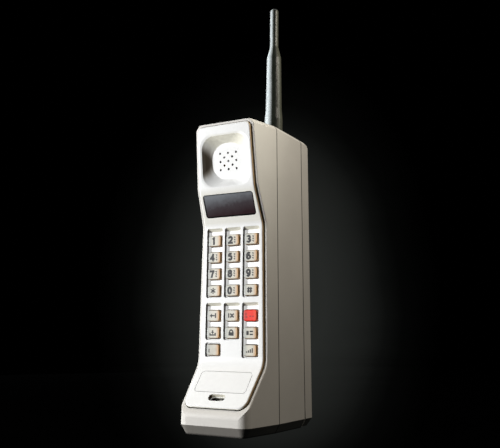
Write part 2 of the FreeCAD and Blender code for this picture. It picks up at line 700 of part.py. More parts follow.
# ---------------------------------------------------------------- face
def dish(grow, extra):
    """The earpiece hollow in its own frame, grown by grow for its shell."""
    face = PANEL_PROUD + extra
    floor = PANEL_PROUD - DISH_DEPTH - grow
    wires = []
    if extra > 0:
        mouth = rectangle(DISH_WIDTH + 2 * grow, DISH_LENGTH + 2 * grow, DISH_CORNER + grow)
        wires.append(rounded_wire(mouth, in_plan_view(face)))
    for down, closed in DISH_PROFILE:
        width = DISH_WIDTH + (DISH_FLOOR_WIDTH - DISH_WIDTH) * closed + 2 * grow
        length = DISH_LENGTH + (DISH_FLOOR_LENGTH - DISH_LENGTH) * closed + 2 * grow
        corner = DISH_CORNER + (DISH_FLOOR_CORNER - DISH_CORNER) * closed + grow
        level = PANEL_PROUD + (floor - PANEL_PROUD) * down
        wires.append(rounded_wire(rectangle(width, length, corner), in_plan_view(level)))
    return on_face(Part.makeLoft(wires, True, True), EAR_FRAME)


def ear_holes():
    floor = PANEL_PROUD - DISH_DEPTH
    holes = []
    for row in range(-2, 3):
        columns = (-1, 0, 1) if row % 2 == 0 else (-0.5, 0.5)
        for column in columns:
            x, up = column * EAR_PITCH_X, row * EAR_PITCH_Z / 2
            back, front = Vector(x, up, floor - 2 * DISH_WALL), Vector(x, up, floor + DISH_WALL)
            holes.append(on_face(rod(EAR_HOLE_RADIUS, back, front), EAR_FRAME))
    return Part.makeCompound(holes)


def channel(column, first, last):
    """A keypad channel with a ramped head."""
    x = column * COLUMN_PITCH
    half = KEY_WIDTH / 2 + CHANNEL_MARGIN
    high = row_height(first) + KEY_HEIGHT / 2 + CHANNEL_HEAD
    low = row_height(last) - KEY_HEIGHT / 2 - CHANNEL_TAIL
    face = WAIST_Y - PANEL_PROUD
    floor = face + CHANNEL_DEPTH
    outline = rectangle(2 * half, high - low, CHANNEL_CORNER, x, (high + low) / 2)
    pocket = prism(outline, in_front_view(face - WALL), Vector(0, CHANNEL_DEPTH + WALL, 0))
    ramp = [
        (floor, high - CHANNEL_RAMP, 0.0),
        (floor, high + CHANNEL_RAMP, 0.0),
        (face - WALL, high + CHANNEL_RAMP, 0.0),
        (face - WALL, high + RAMP_LIP, 0.0),
        (face, high, 0.0),
    ]
    return pocket.cut(prism(ramp, in_side_view(x - 2 * half), Vector(4 * half, 0, 0)))


def key_hole(name):
    x, z = key_place(name)
    outline = inset(rectangle(KEY_WIDTH, KEY_HEIGHT, KEY_CORNER, x, z), -KEY_CLEARANCE)
    return prism(outline, in_front_view(WAIST_Y - WALL), Vector(0, FLOOR_BACK_Y - WAIST_Y + 2 * WALL, 0))


def worn_key_recess():
    x, z = key_place("key_power")
    width, height = KEY_WIDTH + 2 * WORN_KEY_MARGIN, KEY_HEIGHT + 2 * WORN_KEY_MARGIN
    outline = rectangle(width, height, CHANNEL_CORNER, x, z)
    face = WAIST_Y - PANEL_PROUD
    return prism(outline, in_front_view(face - WALL), Vector(0, CHANNEL_DEPTH + WALL, 0))


def mic_outline(grow):
    """The mouthpiece slot's outline, grown all round."""
    round_end = MIC_SLOT_WIDTH / 2 - STADIUM_EASE
    return inset(rectangle(MIC_SLOT_LENGTH, MIC_SLOT_WIDTH, round_end), -grow)


def plate_outline(grow):
    return rectangle(PLATE_WIDTH + 2 * grow, PLATE_LENGTH + 2 * grow, PLATE_CORNER + grow)


def round_front_edges(panel):
    """Round the panel's front edge all the way round."""
    inner = panel_prism(-EDGE_PROBE)
    front = skin(-PANEL_PROUD - EDGE_PROBE, -PANEL_PROUD + EDGE_PROBE)
    rim = []
    for edge in panel.Edges:
        middle = edge.valueAt((edge.FirstParameter + edge.LastParameter) / 2)
        if front.isInside(middle, EDGE_PROBE / 2, True) and not inner.isInside(middle, EDGE_PROBE / 2, True):
            rim.append(edge)
    return panel.makeFillet(PANEL_EDGE_ROUND, rim)


def make_face_panel():
    panel = skin(-PANEL_PROUD, PANEL_THICKNESS - PANEL_PROUD).common(panel_prism())
    panel = round_front_edges(panel.removeSplitter())
    block_half = COLUMN_PITCH + KEY_WIDTH / 2 + CHANNEL_MARGIN + KEY_BLOCK_WALL
    high = row_height(0) + KEY_HEIGHT / 2 + CHANNEL_HEAD + KEY_BLOCK_WALL
    low = row_height(LAST_ROW) - KEY_HEIGHT / 2 - CHANNEL_TAIL - KEY_BLOCK_WALL
    block = box(-block_half, block_half, WAIST_Y, FLOOR_BACK_Y, low, high)
    panel = panel.fuse(block)
    shell = dish(DISH_WALL, 0.0).common(behind_face(PANEL_THICKNESS / 2 - PANEL_PROUD))
    panel = panel.fuse(shell).cut(dish(0.0, WALL)).cut(ear_holes())
    for column, first, last in CHANNELS:
        panel = panel.cut(channel(column, first, last))
    panel = panel.cut(worn_key_recess())
    for name in KEYS:
        panel = panel.cut(key_hole(name))
    window = rectangle(WINDOW_WIDTH, WINDOW_LENGTH, WINDOW_CORNER)
    seat = PANEL_PROUD - WINDOW_SUNK - WINDOW_THICKNESS
    panel = panel.cut(on_face(plate(window, seat, WALL), DISPLAY_FRAME))
    light = inset(window, WINDOW_LEDGE)
    panel = panel.cut(on_face(plate(light, -2 * PANEL_THICKNESS, WALL), DISPLAY_FRAME))
    panel = panel.fuse(on_face(plate(mic_outline(MIC_COLLAR), MIC_BACK, 0.0), MIC_FRAME))
    panel = panel.cut(on_face(plate(mic_outline(0.0), MIC_BACK + MIC_FLOOR, 2 * WALL), MIC_FRAME))
    panel = panel.cut(on_face(plate(mic_outline(-MIC_LEDGE), MIC_BACK - WALL, 2 * WALL), MIC_FRAME))
    recess = plate(plate_outline(PLATE_GROOVE), PANEL_PROUD - PLATE_THICKNESS, WALL)
    panel = panel.cut(on_face(recess, PLATE_FRAME))
    return panel.removeSplitter()


def make_name_plate():
    return on_face(plate(plate_outline(0.0), PANEL_PROUD - PLATE_THICKNESS, PANEL_PROUD), PLATE_FRAME)


def make_face_gasket():
    back = PANEL_THICKNESS - PANEL_PROUD
    ring = panel_prism(-GASKET_INSET).cut(panel_prism(-GASKET_INSET - GASKET_WIDTH))
    return ring.common(skin(back, back + GASKET_THICKNESS))


def make_display_window():
    outline = inset(rectangle(WINDOW_WIDTH, WINDOW_LENGTH, WINDOW_CORNER), WINDOW_CLEARANCE)
    top = PANEL_PROUD - WINDOW_SUNK
    return on_face(plate(outline, top - WINDOW_THICKNESS, top), DISPLAY_FRAME)


def make_display_module():
    """The light-emitting display: a tray with a row of digits on its floor."""
    back = PANEL_PROUD - PANEL_THICKNESS
    outline = rectangle(WINDOW_WIDTH - WINDOW_LEDGE, WINDOW_LENGTH - WINDOW_LEDGE)
    tray = plate(outline, back - DISPLAY_DEPTH, back)
    tray = tray.cut(plate(inset(outline, WINDOW_LEDGE), back - DISPLAY_DEPTH / 2, back + WALL))
    width, length, height = DIGIT_SIZE
    pitch = (WINDOW_WIDTH - 4 * WINDOW_LEDGE) / DISPLAY_DIGITS
    for i in range(DISPLAY_DIGITS):
        x = (i - (DISPLAY_DIGITS - 1) / 2) * pitch
        level = back - DISPLAY_DEPTH / 2
        tray = tray.fuse(plate(rectangle(width, length, 0.0, x), level - height, level + height))
    return on_face(tray, DISPLAY_FRAME)


def make_earpiece_gasket():
    top = PANEL_PROUD - DISH_DEPTH - DISH_WALL
    back, front = Vector(0, 0, top - EAR_GASKET_DEPTH), Vector(0, 0, top)
    ring = rod(SPEAKER_RADIUS, back, front).cut(rod(SPEAKER_RADIUS - EAR_GASKET_WIDTH, back, front))
    return on_face(ring, EAR_FRAME)


def make_earpiece_speaker():
    top = PANEL_PROUD - DISH_DEPTH - DISH_WALL - EAR_GASKET_DEPTH
    frame = Part.makeCylinder(SPEAKER_RADIUS, SPEAKER_DEPTH / 2, Vector(0, 0, top - SPEAKER_DEPTH / 2))
    magnet = Part.makeCylinder(SPEAKER_RADIUS / 2, SPEAKER_DEPTH / 2, Vector(0, 0, top - SPEAKER_DEPTH))
    cone = Part.makeCone(SPEAKER_RADIUS / 3, SPEAKER_RADIUS - EAR_GASKET_WIDTH, SPEAKER_DEPTH / 4,
                         Vector(0, 0, top - SPEAKER_DEPTH / 4))
    return on_face(frame.fuse(magnet).cut(cone), EAR_FRAME)


def make_microphone():
    top = MIC_BACK - MIC_BOOT_WALL
    return on_face(Part.makeCylinder(MIC_RADIUS, MIC_DEPTH, Vector(0, 0, top - MIC_DEPTH)), MIC_FRAME)


def make_microphone_boot():
    """The rubber cup that holds the microphone behind its slot."""
    top, depth = MIC_BACK, MIC_BOOT_WALL + MIC_DEPTH
    cup = Part.makeCylinder(MIC_RADIUS + MIC_BOOT_WALL, depth, Vector(0, 0, top - depth))
    room = Part.makeCylinder(MIC_RADIUS, MIC_DEPTH, Vector(0, 0, top - depth))
    port = Part.makeCylinder(MIC_PORT_RADIUS, depth, Vector(0, 0, top - depth))
    return on_face(cup.cut(room).cut(port), MIC_FRAME)


# ---------------------------------------------------------------- keypad
def make_key(name):
    x, z = key_place(name)
    front = WAIST_Y - PANEL_PROUD - KEY_PROUD
    flange_front = FLOOR_BACK_Y + KEY_PLAY
    outline = rectangle(KEY_WIDTH, KEY_HEIGHT, KEY_CORNER, x, z)
    cap = prism(outline, in_front_view(front), Vector(0, flange_front - front, 0))
    rim = [e for e in cap.Edges if abs(e.BoundBox.YMax - front) < 1e-4]
    cap = cap.makeFillet(KEY_EDGE_ROUND, rim)
    outline = rectangle(KEY_WIDTH + 2 * FLANGE_MARGIN, KEY_HEIGHT + 2 * FLANGE_MARGIN, KEY_CORNER, x, z)
    flange = prism(outline, in_front_view(flange_front), Vector(0, FLANGE_THICKNESS, 0))
    return cap.fuse(flange).removeSplitter()


def keypad_board_outline():
    half = COLUMN_PITCH + KEY_WIDTH / 2 + FLANGE_MARGIN
    high = row_height(0) + KEY_HEIGHT / 2 + CHANNEL_HEAD
    low = row_height(LAST_ROW) - KEY_HEIGHT / 2 - FLANGE_MARGIN
    return rectangle(2 * half, high - low, BOARD_CORNER, 0.0, (high + low) / 2)


def make_keypad_mat():
    sheet = prism(keypad_board_outline(), in_front_view(MAT_FRONT_Y), Vector(0, MAT_THICKNESS, 0))
    domes = []
    for name in KEYS:
        x, z = key_place(name)
        root = Vector(x, MAT_FRONT_Y, z)
        domes.append(Part.makeCone(DOME_BASE_RADIUS, DOME_TOP_RADIUS, DOME_HEIGHT, root, Vector(0, -1, 0)))
    return sheet.multiFuse(domes).removeSplitter()


def make_keypad_board():
    return prism(keypad_board_outline(), in_front_view(BOARD_FRONT_Y), Vector(0, BOARD_THICKNESS, 0))


# ---------------------------------------------------------------- insides
def board_post_places():
    """Where the boards are screwed down: x, z and the board's two faces."""
    logic_x, radio_x = LOGIC_WIDTH / 2 - BOARD_SCREW_INSET, RADIO_HALF - RADIO_SCREW_INSET
    logic_z = (LOGIC_LOW + BOARD_SCREW_INSET, LOGIC_HIGH - BOARD_SCREW_INSET)
    radio_z = (RADIO_LOW + BOARD_SCREW_INSET, RADIO_HIGH - BOARD_SCREW_INSET)
    logic = [(side * logic_x, z, LOGIC_FRONT_Y, LOGIC_BACK_Y) for side in (-1, 1) for z in logic_z]
    radio = [(side * radio_x, z, RADIO_FRONT_Y, RADIO_BACK_Y) for side in (-1, 1) for z in radio_z]
    return logic + radio


def make_chassis_frame():
    """The cast plate that the boards stand on, clamped between the two housings."""
    frame = body_block(CHASSIS_FRONT_Y, CHASSIS_BACK_Y, WALL + CASE_FIT + LIP_THICKNESS + CHASSIS_MARGIN)
    posts = []
    for x in (-COLUMN_PITCH, COLUMN_PITCH):
        for z in [row_height(row) for row in POST_ROWS]:
            posts.append(rod(POST_RADIUS, Vector(x, BOARD_BACK_Y, z), Vector(x, CHASSIS_FRONT_Y, z)))
    for x, z, front, _ in board_post_places():
        posts.append(rod(POST_RADIUS, Vector(x, CHASSIS_BACK_Y, z), Vector(x, front, z)))
    frame = frame.multiFuse(posts)
    for x, z, front, _ in board_post_places():
        tip = Vector(x, front - BOARD_SCREW_BITE, z)
        frame = frame.cut(rod(BOARD_SCREW_RADIUS, tip, Vector(x, front, z)))
    for x, z in screw_places():
        through = Vector(x, CHASSIS_FRONT_Y, z), Vector(x, CHASSIS_BACK_Y, z)
        frame = frame.cut(rod(SCREW_RADIUS + SCREW_CLEARANCE, *through))
    return frame.removeSplitter()


def drilled(board):
    """A board with the clearance holes of its screws."""
    for x, z, front, back in board_post_places():
        hole = rod(BOARD_SCREW_RADIUS + SCREW_CLEARANCE, Vector(x, front, z), Vector(x, back, z))
        board = board.cut(hole)
    return board


def make_board_screws():
    screws = []
    for x, z, front, back in board_post_places():
        shank = rod(BOARD_SCREW_RADIUS, Vector(x, front - BOARD_SCREW_BITE, z), Vector(x, back, z))
        head = rod(BOARD_SCREW_HEAD, Vector(x, back, z), Vector(x, back + BOARD_SCREW_HEAD_HEIGHT, z))
        slot = box(x - BOARD_SCREW_HEAD, x + BOARD_SCREW_HEAD, back + BOARD_SCREW_HEAD_HEIGHT / 2,
                   back + 2 * BOARD_SCREW_HEAD_HEIGHT, z - SCREW_CLEARANCE, z + SCREW_CLEARANCE)
        screws.append(shank.fuse(head).cut(slot))
    return Part.makeCompound(screws)


def make_logic_board():
    board = box(-LOGIC_WIDTH / 2, LOGIC_WIDTH / 2, LOGIC_FRONT_Y, LOGIC_BACK_Y, LOGIC_LOW, LOGIC_HIGH)
    return drilled(board)


def can(size, y, z):
    """A pressed shield that stands on a board at y."""
    width, depth, height = size
    x, low = width / 2, z - height / 2
    outer = box(-x, x, y, y + depth, low, low + height)
    x, high = x - CAN_WALL, low + height - CAN_WALL
    return outer.cut(box(-x, x, y - CAN_WALL, y + depth - CAN_WALL, low + CAN_WALL, high))


def make_logic_shield():
    return can(LOGIC_CAN, LOGIC_BACK_Y, (LOGIC_LOW + LOGIC_HIGH) / 2)


def make_radio_board():
    return drilled(box(-RADIO_HALF, RADIO_HALF, RADIO_FRONT_Y, RADIO_BACK_Y, RADIO_LOW, RADIO_HIGH))


def make_radio_shield():
    return can(RADIO_CAN, RADIO_BACK_Y, RADIO_CAN_CENTRE)


def make_power_amplifier():
    """The transmitter's output stage with its finned heat sink."""
    width, depth, height = AMPLIFIER
    low = AMPLIFIER_CENTRE - height / 2
    shapes = [box(-width / 2, width / 2, RADIO_BACK_Y, RADIO_BACK_Y + depth, low, low + height)]
    pitch = (width - FIN_THICKNESS) / (FIN_COUNT - 1)
    for i in range(FIN_COUNT):
        x = -width / 2 + i * pitch
        top = RADIO_BACK_Y + depth
        shapes.append(box(x, x + FIN_THICKNESS, top - WALL, top + FIN_HEIGHT, low, low + height))
    return fused(shapes)


def make_duplexer():
    width, depth, height = DUPLEXER
    return box(-width / 2, width / 2, RADIO_BACK_Y, RADIO_BACK_Y + depth,
               DUPLEXER_CENTRE - height / 2, DUPLEXER_CENTRE + height / 2)


def make_housing_screws():
    screws = []
    for x, z in screw_places():
        tip = Vector(x, CHASSIS_FRONT_Y - SCREW_BITE, z)
        seat = Vector(x, BAY_FLOOR_Y, z)
        shank = rod(SCREW_RADIUS, tip, seat)
        head = rod(SCREW_HEAD_RADIUS, seat, Vector(x, BAY_FLOOR_Y + SCREW_HEAD_HEIGHT, z))
        slot = box(x - SCREW_HEAD_RADIUS, x + SCREW_HEAD_RADIUS, BAY_FLOOR_Y + SCREW_HEAD_HEIGHT / 2,
                   BATTERY_Y, z - SCREW_CLEARANCE, z + SCREW_CLEARANCE)
        screws.append(shank.fuse(head).cut(slot))
    return Part.makeCompound(screws)


def make_accessory_socket():
    width, depth = SOCKET_WIDTH + 2 * SOCKET_WALL, SOCKET_DEPTH + 2 * SOCKET_WALL
    height = SOCKET_HEIGHT + SOCKET_WALL
    shell = box(-width / 2, width / 2, SOCKET_Y - depth / 2, SOCKET_Y + depth / 2, CASE_FIT, height)
    flange = box(-width / 2 - SOCKET_WALL, width / 2 + SOCKET_WALL, SOCKET_Y - depth / 2 - SOCKET_WALL,
                 SOCKET_Y + depth / 2 + SOCKET_WALL, WALL, WALL + SOCKET_WALL)
    room = box(-SOCKET_WIDTH / 2, SOCKET_WIDTH / 2, SOCKET_Y - SOCKET_DEPTH / 2, SOCKET_Y + SOCKET_DEPTH / 2,
               -WALL, SOCKET_HEIGHT)
    socket = shell.fuse(flange).cut(room)
    for x in contact_places():
        room, back = Vector(x, SOCKET_Y, SOCKET_HEIGHT), Vector(x, SOCKET_Y, height)
        socket = socket.cut(rod(CONTACT_RADIUS, room, back))
    return socket


def contact_places():
    pitch = SOCKET_WIDTH / (CONTACT_COUNT + 1)
    return [(i - (CONTACT_COUNT - 1) / 2) * pitch for i in range(CONTACT_COUNT)]


def make_socket_contacts():
    pins = []
    for x in contact_places():
        low = Vector(x, SOCKET_Y, SOCKET_HEIGHT - CONTACT_PROUD)
        high = Vector(x, SOCKET_Y, SOCKET_HEIGHT + SOCKET_WALL)
        pins.append(rod(CONTACT_RADIUS, low, high))
    return Part.makeCompound(pins)


# ---------------------------------------------------------------- antenna
def antenna_point(height):
    return Vector(ANTENNA_X, ANTENNA_Y, BODY_HEIGHT + height)


def turned(profile):
    """A turned piece about the antenna's axis from (radius, height above the body) points."""
    points = [Vector(ANTENNA_X + r, ANTENNA_Y, BODY_HEIGHT + h) for r, h in profile]
    face = Part.Face(Part.makePolygon(points + points[:1]))
    return face.revolve(antenna_point(0), Vector(0, 0, 1), 360)


def make_antenna_bushing():
    inner, outer, low = STUD_RADIUS + RUNNING_CLEARANCE, BUSHING_RADIUS, -BUSHING_LENGTH
    return turned([(inner, low), (outer, low), (outer, 0.0), (inner, 0.0)])


def make_antenna_feed():
    """The lead from the duplexer to the foot of the antenna bushing."""
    start = Vector(ANTENNA_X, ANTENNA_Y, DUPLEXER_CENTRE + DUPLEXER[2] / 2)
    lead = rod(FEED_RADIUS, start, antenna_point(-BUSHING_LENGTH - WALL))
    cap = rod(BUSHING_RADIUS, antenna_point(-BUSHING_LENGTH - WALL), antenna_point(-BUSHING_LENGTH))
    return lead.fuse(cap)


def make_antenna_stud():
    stud = rod(STUD_RADIUS, antenna_point(-BUSHING_LENGTH + ANTENNA_GAP), antenna_point(ANTENNA_GAP))
    return stud.fuse(rod(SPIGOT_RADIUS, antenna_point(0), antenna_point(SPIGOT_LENGTH)))


def make_antenna_base():
    """The flared ferrule at the foot of the antenna."""
    low = ANTENNA_GAP * 2
    bore = SPIGOT_RADIUS + RUNNING_CLEARANCE
    top = SPIGOT_LENGTH + 2 * ANTENNA_GAP
    return turned([
        (bore, low), (BASE_FLARE_RADIUS, low), (BASE_FLARE_RADIUS, low + FLARE_STRAIGHT),
        (SLEEVE_LOW_RADIUS, FLARE_TOP), (0.0, FLARE_TOP), (0.0, top), (bore, top),
    ])


def make_antenna_sleeve():
    return turned([
        (0.0, FLARE_TOP), (SLEEVE_LOW_RADIUS, FLARE_TOP), (SLEEVE_RADIUS, SLEEVE_TOP),
        (WHIP_RADIUS, TAPER_TOP), (0.0, TAPER_TOP),
    ])


def make_antenna_whip():
    return turned([(0.0, TAPER_TOP), (WHIP_RADIUS, TAPER_TOP), (WHIP_RADIUS, WHIP_TOP), (0.0, WHIP_TOP)])


def make_antenna_tip():
    tip = rod(TIP_RADIUS, antenna_point(WHIP_TOP), antenna_point(WHIP_TOP + TIP_HEIGHT))
    rims = [e for e in tip.Edges if len(e.Vertexes) == 1]
    high = [e for e in rims if e.BoundBox.ZMin > antenna_point(WHIP_TOP).z + TIP_HEIGHT / 2]
    return tip.makeFillet(TIP_ROUND, high)


# ---------------------------------------------------------------- battery
def back_cuts(block):
    """The battery's bevels along its top and bottom edges at the back."""
    top = [
        (BACK_Y - BACK_TOP_CHAMFER, BODY_HEIGHT, 0.0),
        (BACK_Y, BODY_HEIGHT - BACK_TOP_CHAMFER, 0.0),
        (BACK_Y + WALL, BODY_HEIGHT - BACK_TOP_CHAMFER, 0.0),
        (BACK_Y + WALL, BODY_HEIGHT + WALL, 0.0),
        (BACK_Y - BACK_TOP_CHAMFER, BODY_HEIGHT + WALL, 0.0),
    ]
    bottom = [
        (BACK_Y - BASE_CHAMFER[0], 0.0, 0.0),
        (BACK_Y - BASE_CHAMFER[0], -WALL, 0.0),
        (BACK_Y + WALL, -WALL, 0.0),
        (BACK_Y + WALL, BASE_CHAMFER[1], 0.0),
        (BACK_Y, BASE_CHAMFER[1], 0.0),
    ]
    for corners in (top, bottom):
        block = block.cut(prism(corners, in_side_view(-FAR), Vector(2 * FAR, 0, 0)))
    return block


def make_battery_cover():
    """The outer shell of the battery pack."""
    cover = back_cuts(body_block(BATTERY_FRONT_Y, BACK_Y))
    hollow = body_block(BATTERY_FRONT_Y, BACK_Y - BATTERY_WALL, BATTERY_WALL)
    slope = Vector(0, -BATTERY_WALL, 0)
    inner = back_cuts(body_block(BATTERY_FRONT_Y, BACK_Y))
    inner.translate(slope)
    above_floor = box(-FAR, FAR, BATTERY_FRONT_Y, BACK_Y, BATTERY_LIFT + BATTERY_WALL, FAR)
    cover = cover.cut(hollow.common(inner).common(above_floor))
    cover = cover.cut(box(-FAR, FAR, BATTERY_FRONT_Y, BACK_Y, -WALL, BATTERY_LIFT))
    relief = [
        (BATTERY_FRONT_Y, FOOT_RELIEF_HEIGHT, 0.0),
        (BATTERY_FRONT_Y - WALL, FOOT_RELIEF_HEIGHT, 0.0),
        (BATTERY_FRONT_Y - WALL, -WALL, 0.0),
        (BATTERY_FRONT_Y + FOOT_RELIEF, -WALL, 0.0),
        (BATTERY_FRONT_Y + FOOT_RELIEF, 0.0, 0.0),
    ]
    cover = cover.cut(prism(relief, in_side_view(-FAR), Vector(2 * FAR, 0, 0)))
    half = LUG_X + LUG_WIDTH / 2 + HINGE_SIDE_GAP
    reach = PIVOT_Y + max(LUG_RADIUS, HOOK_RADIUS) + HINGE_SIDE_GAP / 2
    cover = cover.cut(box(-half, half, BATTERY_Y - WALL, reach, -WALL, HINGE_HEIGHT + HOOK_RADIUS))
    return cover.removeSplitter()


def make_battery_case():
    """The inner tray: a plate that closes the cover, a belly around the cells, and the hinge hooks."""
    front = BATTERY_FRONT_Y + PLATE_SUNK
    back = front + CASE_PLATE
    low = HINGE_HEIGHT + HOOK_RADIUS + HINGE_SIDE_GAP
    rim = body_block(front, back, BATTERY_WALL + CASE_FIT)
    rim = rim.common(box(-FAR, FAR, front, back, low, FAR))
    belly = prism(bay_outline(0.0), in_front_view(BELLY_FRONT_Y), Vector(0, back - BELLY_FRONT_Y, 0))
    room = prism(inset(bay_outline(0.0), BATTERY_WALL), in_front_view(BELLY_FRONT_Y + BATTERY_WALL),
                 Vector(0, back - BELLY_FRONT_Y, 0))
    case = rim.fuse(belly).cut(room)
    for side in (-1, 1):
        case = case.fuse(hook(side * HOOK_X, front, back, low))
    bore = PIN_RADIUS + RUNNING_CLEARANCE
    case = case.cut(rod(bore, Vector(-FAR, PIVOT_Y, HINGE_HEIGHT), Vector(FAR, PIVOT_Y, HINGE_HEIGHT)))
    case = case.cut(catch_window(front, back))
    for x in terminal_places():
        width, height = TERMINAL_SIZE
        case = case.cut(box(x - width / 2, x + width / 2, BELLY_FRONT_Y, BELLY_FRONT_Y + TERMINAL_THICKNESS,
                            TERMINAL_HEIGHT - height / 2, TERMINAL_HEIGHT + height / 2))
    return case.removeSplitter()


def hook(x, front, back, low):
    x0 = x - HOOK_WIDTH / 2
    eye = Part.makeCylinder(HOOK_RADIUS, HOOK_WIDTH, Vector(x0, PIVOT_Y, HINGE_HEIGHT), Vector(1, 0, 0))
    arm = box(x0, x0 + HOOK_WIDTH, front, back, HINGE_HEIGHT, low + WALL)
    bridge = box(x0, x0 + HOOK_WIDTH, front, PIVOT_Y, HINGE_HEIGHT, HINGE_HEIGHT + HOOK_RADIUS)
    return fused([eye, arm, bridge])


def catch_window(front, back):
    half = CATCH_WIDTH / 2 + POCKET_MARGIN
    low = CATCH_Z - CATCH_THICKNESS - POCKET_MARGIN
    return box(-half, half, front - WALL, back + WALL, low, CATCH_Z + CATCH_HOOK / 2)


def make_battery_hinge_pin():
    half = LUG_X + LUG_WIDTH / 2
    return rod(PIN_RADIUS, Vector(-half, PIVOT_Y, HINGE_HEIGHT), Vector(half, PIVOT_Y, HINGE_HEIGHT))


def cell_places():
    step = CELL_LENGTH + CELL_TIP_HEIGHT + LINK_THICKNESS
    foot = CELL_LOW + LINK_THICKNESS
    return [(side * CELL_X, foot + row * step) for side in (-1, 1) for row in range(CELL_ROWS)]


def make_battery_cells():
    cells = []
    for x, z in cell_places():
        foot, top = Vector(x, CELL_Y, z), Vector(x, CELL_Y, z + CELL_LENGTH)
        tip = rod(CELL_TIP_RADIUS, top, top + Vector(0, 0, CELL_TIP_HEIGHT))
        cells.append(rod(CELL_RADIUS, foot, top).fuse(tip))
    return Part.makeCompound(cells)


def make_cell_links():
    """Nickel strips between the ends of neighbouring cells, and one across the foot of the pack."""
    links = []
    size = CELL_RADIUS / 2
    for x, z in cell_places():
        if z > CELL_LOW + CELL_LENGTH:
            links.append(box(x - size, x + size, CELL_Y - size, CELL_Y + size, z - LINK_THICKNESS, z))
    x, top = CELL_X + size, CELL_LOW + LINK_THICKNESS
    links.append(box(-x, x, CELL_Y - size, CELL_Y + size, CELL_LOW, top))
    return Part.makeCompound(links)


def terminal_places():
    return [side * TERMINAL_PITCH / 2 for side in (-1, 1)]


def make_battery_terminals():
    width, height = TERMINAL_SIZE
    return Part.makeCompound([
        box(x - width / 2, x + width / 2, BELLY_FRONT_Y, BELLY_FRONT_Y + TERMINAL_THICKNESS,
            TERMINAL_HEIGHT - height / 2, TERMINAL_HEIGHT + height / 2)
        for x in terminal_places()
    ])


def make_terminal_springs():
    """Bowed contact strips on the floor of the battery bay."""
    width, height = TERMINAL_SIZE
    springs = []
    for x in terminal_places():
        side = x - width / 4
        arch = [
            Vector(side, BAY_FLOOR_Y, TERMINAL_HEIGHT - height / 2),
            Vector(side, BAY_FLOOR_Y + SPRING_RISE, TERMINAL_HEIGHT),
            Vector(side, BAY_FLOOR_Y, TERMINAL_HEIGHT + height / 2),
        ]
        bow = Part.Arc(*arch).toShape()
        chord = Part.LineSegment(arch[2], arch[0]).toShape()
        springs.append(Part.Face(Part.Wire([bow, chord])).extrude(Vector(width / 2, 0, 0)))
    return Part.makeCompound(springs)


# ---------------------------------------------------------------- latch
def make_battery_latch():
    """The thumb bar on the top with its stem."""
    low = BODY_HEIGHT + LATCH_GAP
    bar = box(-LATCH_WIDTH / 2, LATCH_WIDTH / 2, LATCH_FRONT_Y, LATCH_BACK_Y, low, low + LATCH_HEIGHT)
    high = [e for e in bar.Edges if e.BoundBox.ZMin > low + LATCH_HEIGHT / 2]
    bar = bar.makeFillet(LATCH_HEIGHT / 2, high)
    stem = box(-STEM_WIDTH / 2, STEM_WIDTH / 2, STEM_FRONT_Y, STEM_BACK_Y, BODY_HEIGHT - STEM_DROP,
               low + LATCH_HEIGHT / 2)
    return bar.fuse(stem).removeSplitter()


def make_catch_spring():
    """A leaf spring hooked behind the case's window. The sliding stem rides up its ramp and presses it."""
    half, under = CATCH_WIDTH / 2, CATCH_Z - CATCH_THICKNESS
    hook_y = BATTERY_FRONT_Y + PLATE_SUNK + CASE_PLATE + CATCH_THICKNESS / 2
    hook_back = hook_y + CATCH_THICKNESS
    leaf = box(-half, half, SLOT_FRONT_Y - CATCH_REACH, hook_back, under, CATCH_Z)
    lip = box(-half, half, hook_y, hook_back, under, CATCH_Z + CATCH_HOOK)
    foot_y, stem_z = STEM_FRONT_Y - STEM_CLEARANCE / 2, BODY_HEIGHT - STEM_DROP
    ramp = [
        (SLOT_FRONT_Y + STEM_CLEARANCE, CATCH_Z, 0.0),
        (foot_y, CATCH_Z, 0.0),
        (foot_y, stem_z, 0.0),
        (SLOT_FRONT_Y + STEM_CLEARANCE, stem_z + CATCH_RAMP, 0.0),
    ]
    wedge = prism(ramp, in_side_view(-half), Vector(CATCH_WIDTH, 0, 0))
    return fused([leaf, lip, wedge])


# ---------------------------------------------------------------- the parts
PARTS = {
    "front_housing": make_front_housing,
    "rear_housing": make_rear_housing,
    "face_panel": make_face_panel,
    "face_gasket": make_face_gasket,
    "name_plate": make_name_plate,
    "display_window": make_display_window,
    "display_module": make_display_module,
    "earpiece_gasket": make_earpiece_gasket,
    "earpiece_speaker": make_earpiece_speaker,
    "microphone": make_microphone,
    "microphone_boot": make_microphone_boot,
    "keypad_mat": make_keypad_mat,
    "keypad_board": make_keypad_board,
    "chassis_frame": make_chassis_frame,
    "logic_board": make_logic_board,
    "logic_shield": make_logic_shield,
    "radio_board": make_radio_board,
    "radio_shield": make_radio_shield,
    "power_amplifier": make_power_amplifier,
    "duplexer": make_duplexer,
    "housing_screws": make_housing_screws,
    "board_screws": make_board_screws,
    "accessory_socket": make_accessory_socket,
    "socket_contacts": make_socket_contacts,
    "antenna_bushing": make_antenna_bushing,
    "antenna_feed": make_antenna_feed,
    "antenna_stud": make_antenna_stud,
    "antenna_base": make_antenna_base,
    "antenna_sleeve": make_antenna_sleeve,
    "antenna_whip": make_antenna_whip,
    "antenna_tip": make_antenna_tip,
    "battery_cover": make_battery_cover,
    "battery_case": make_battery_case,
    "battery_hinge_pin": make_battery_hinge_pin,
    "battery_cells": make_battery_cells,
    "cell_links": make_cell_links,
    "battery_terminals": make_battery_terminals,
    "terminal_springs": make_terminal_springs,
    "battery_latch": make_battery_latch,
    "catch_spring": make_catch_spring,
}


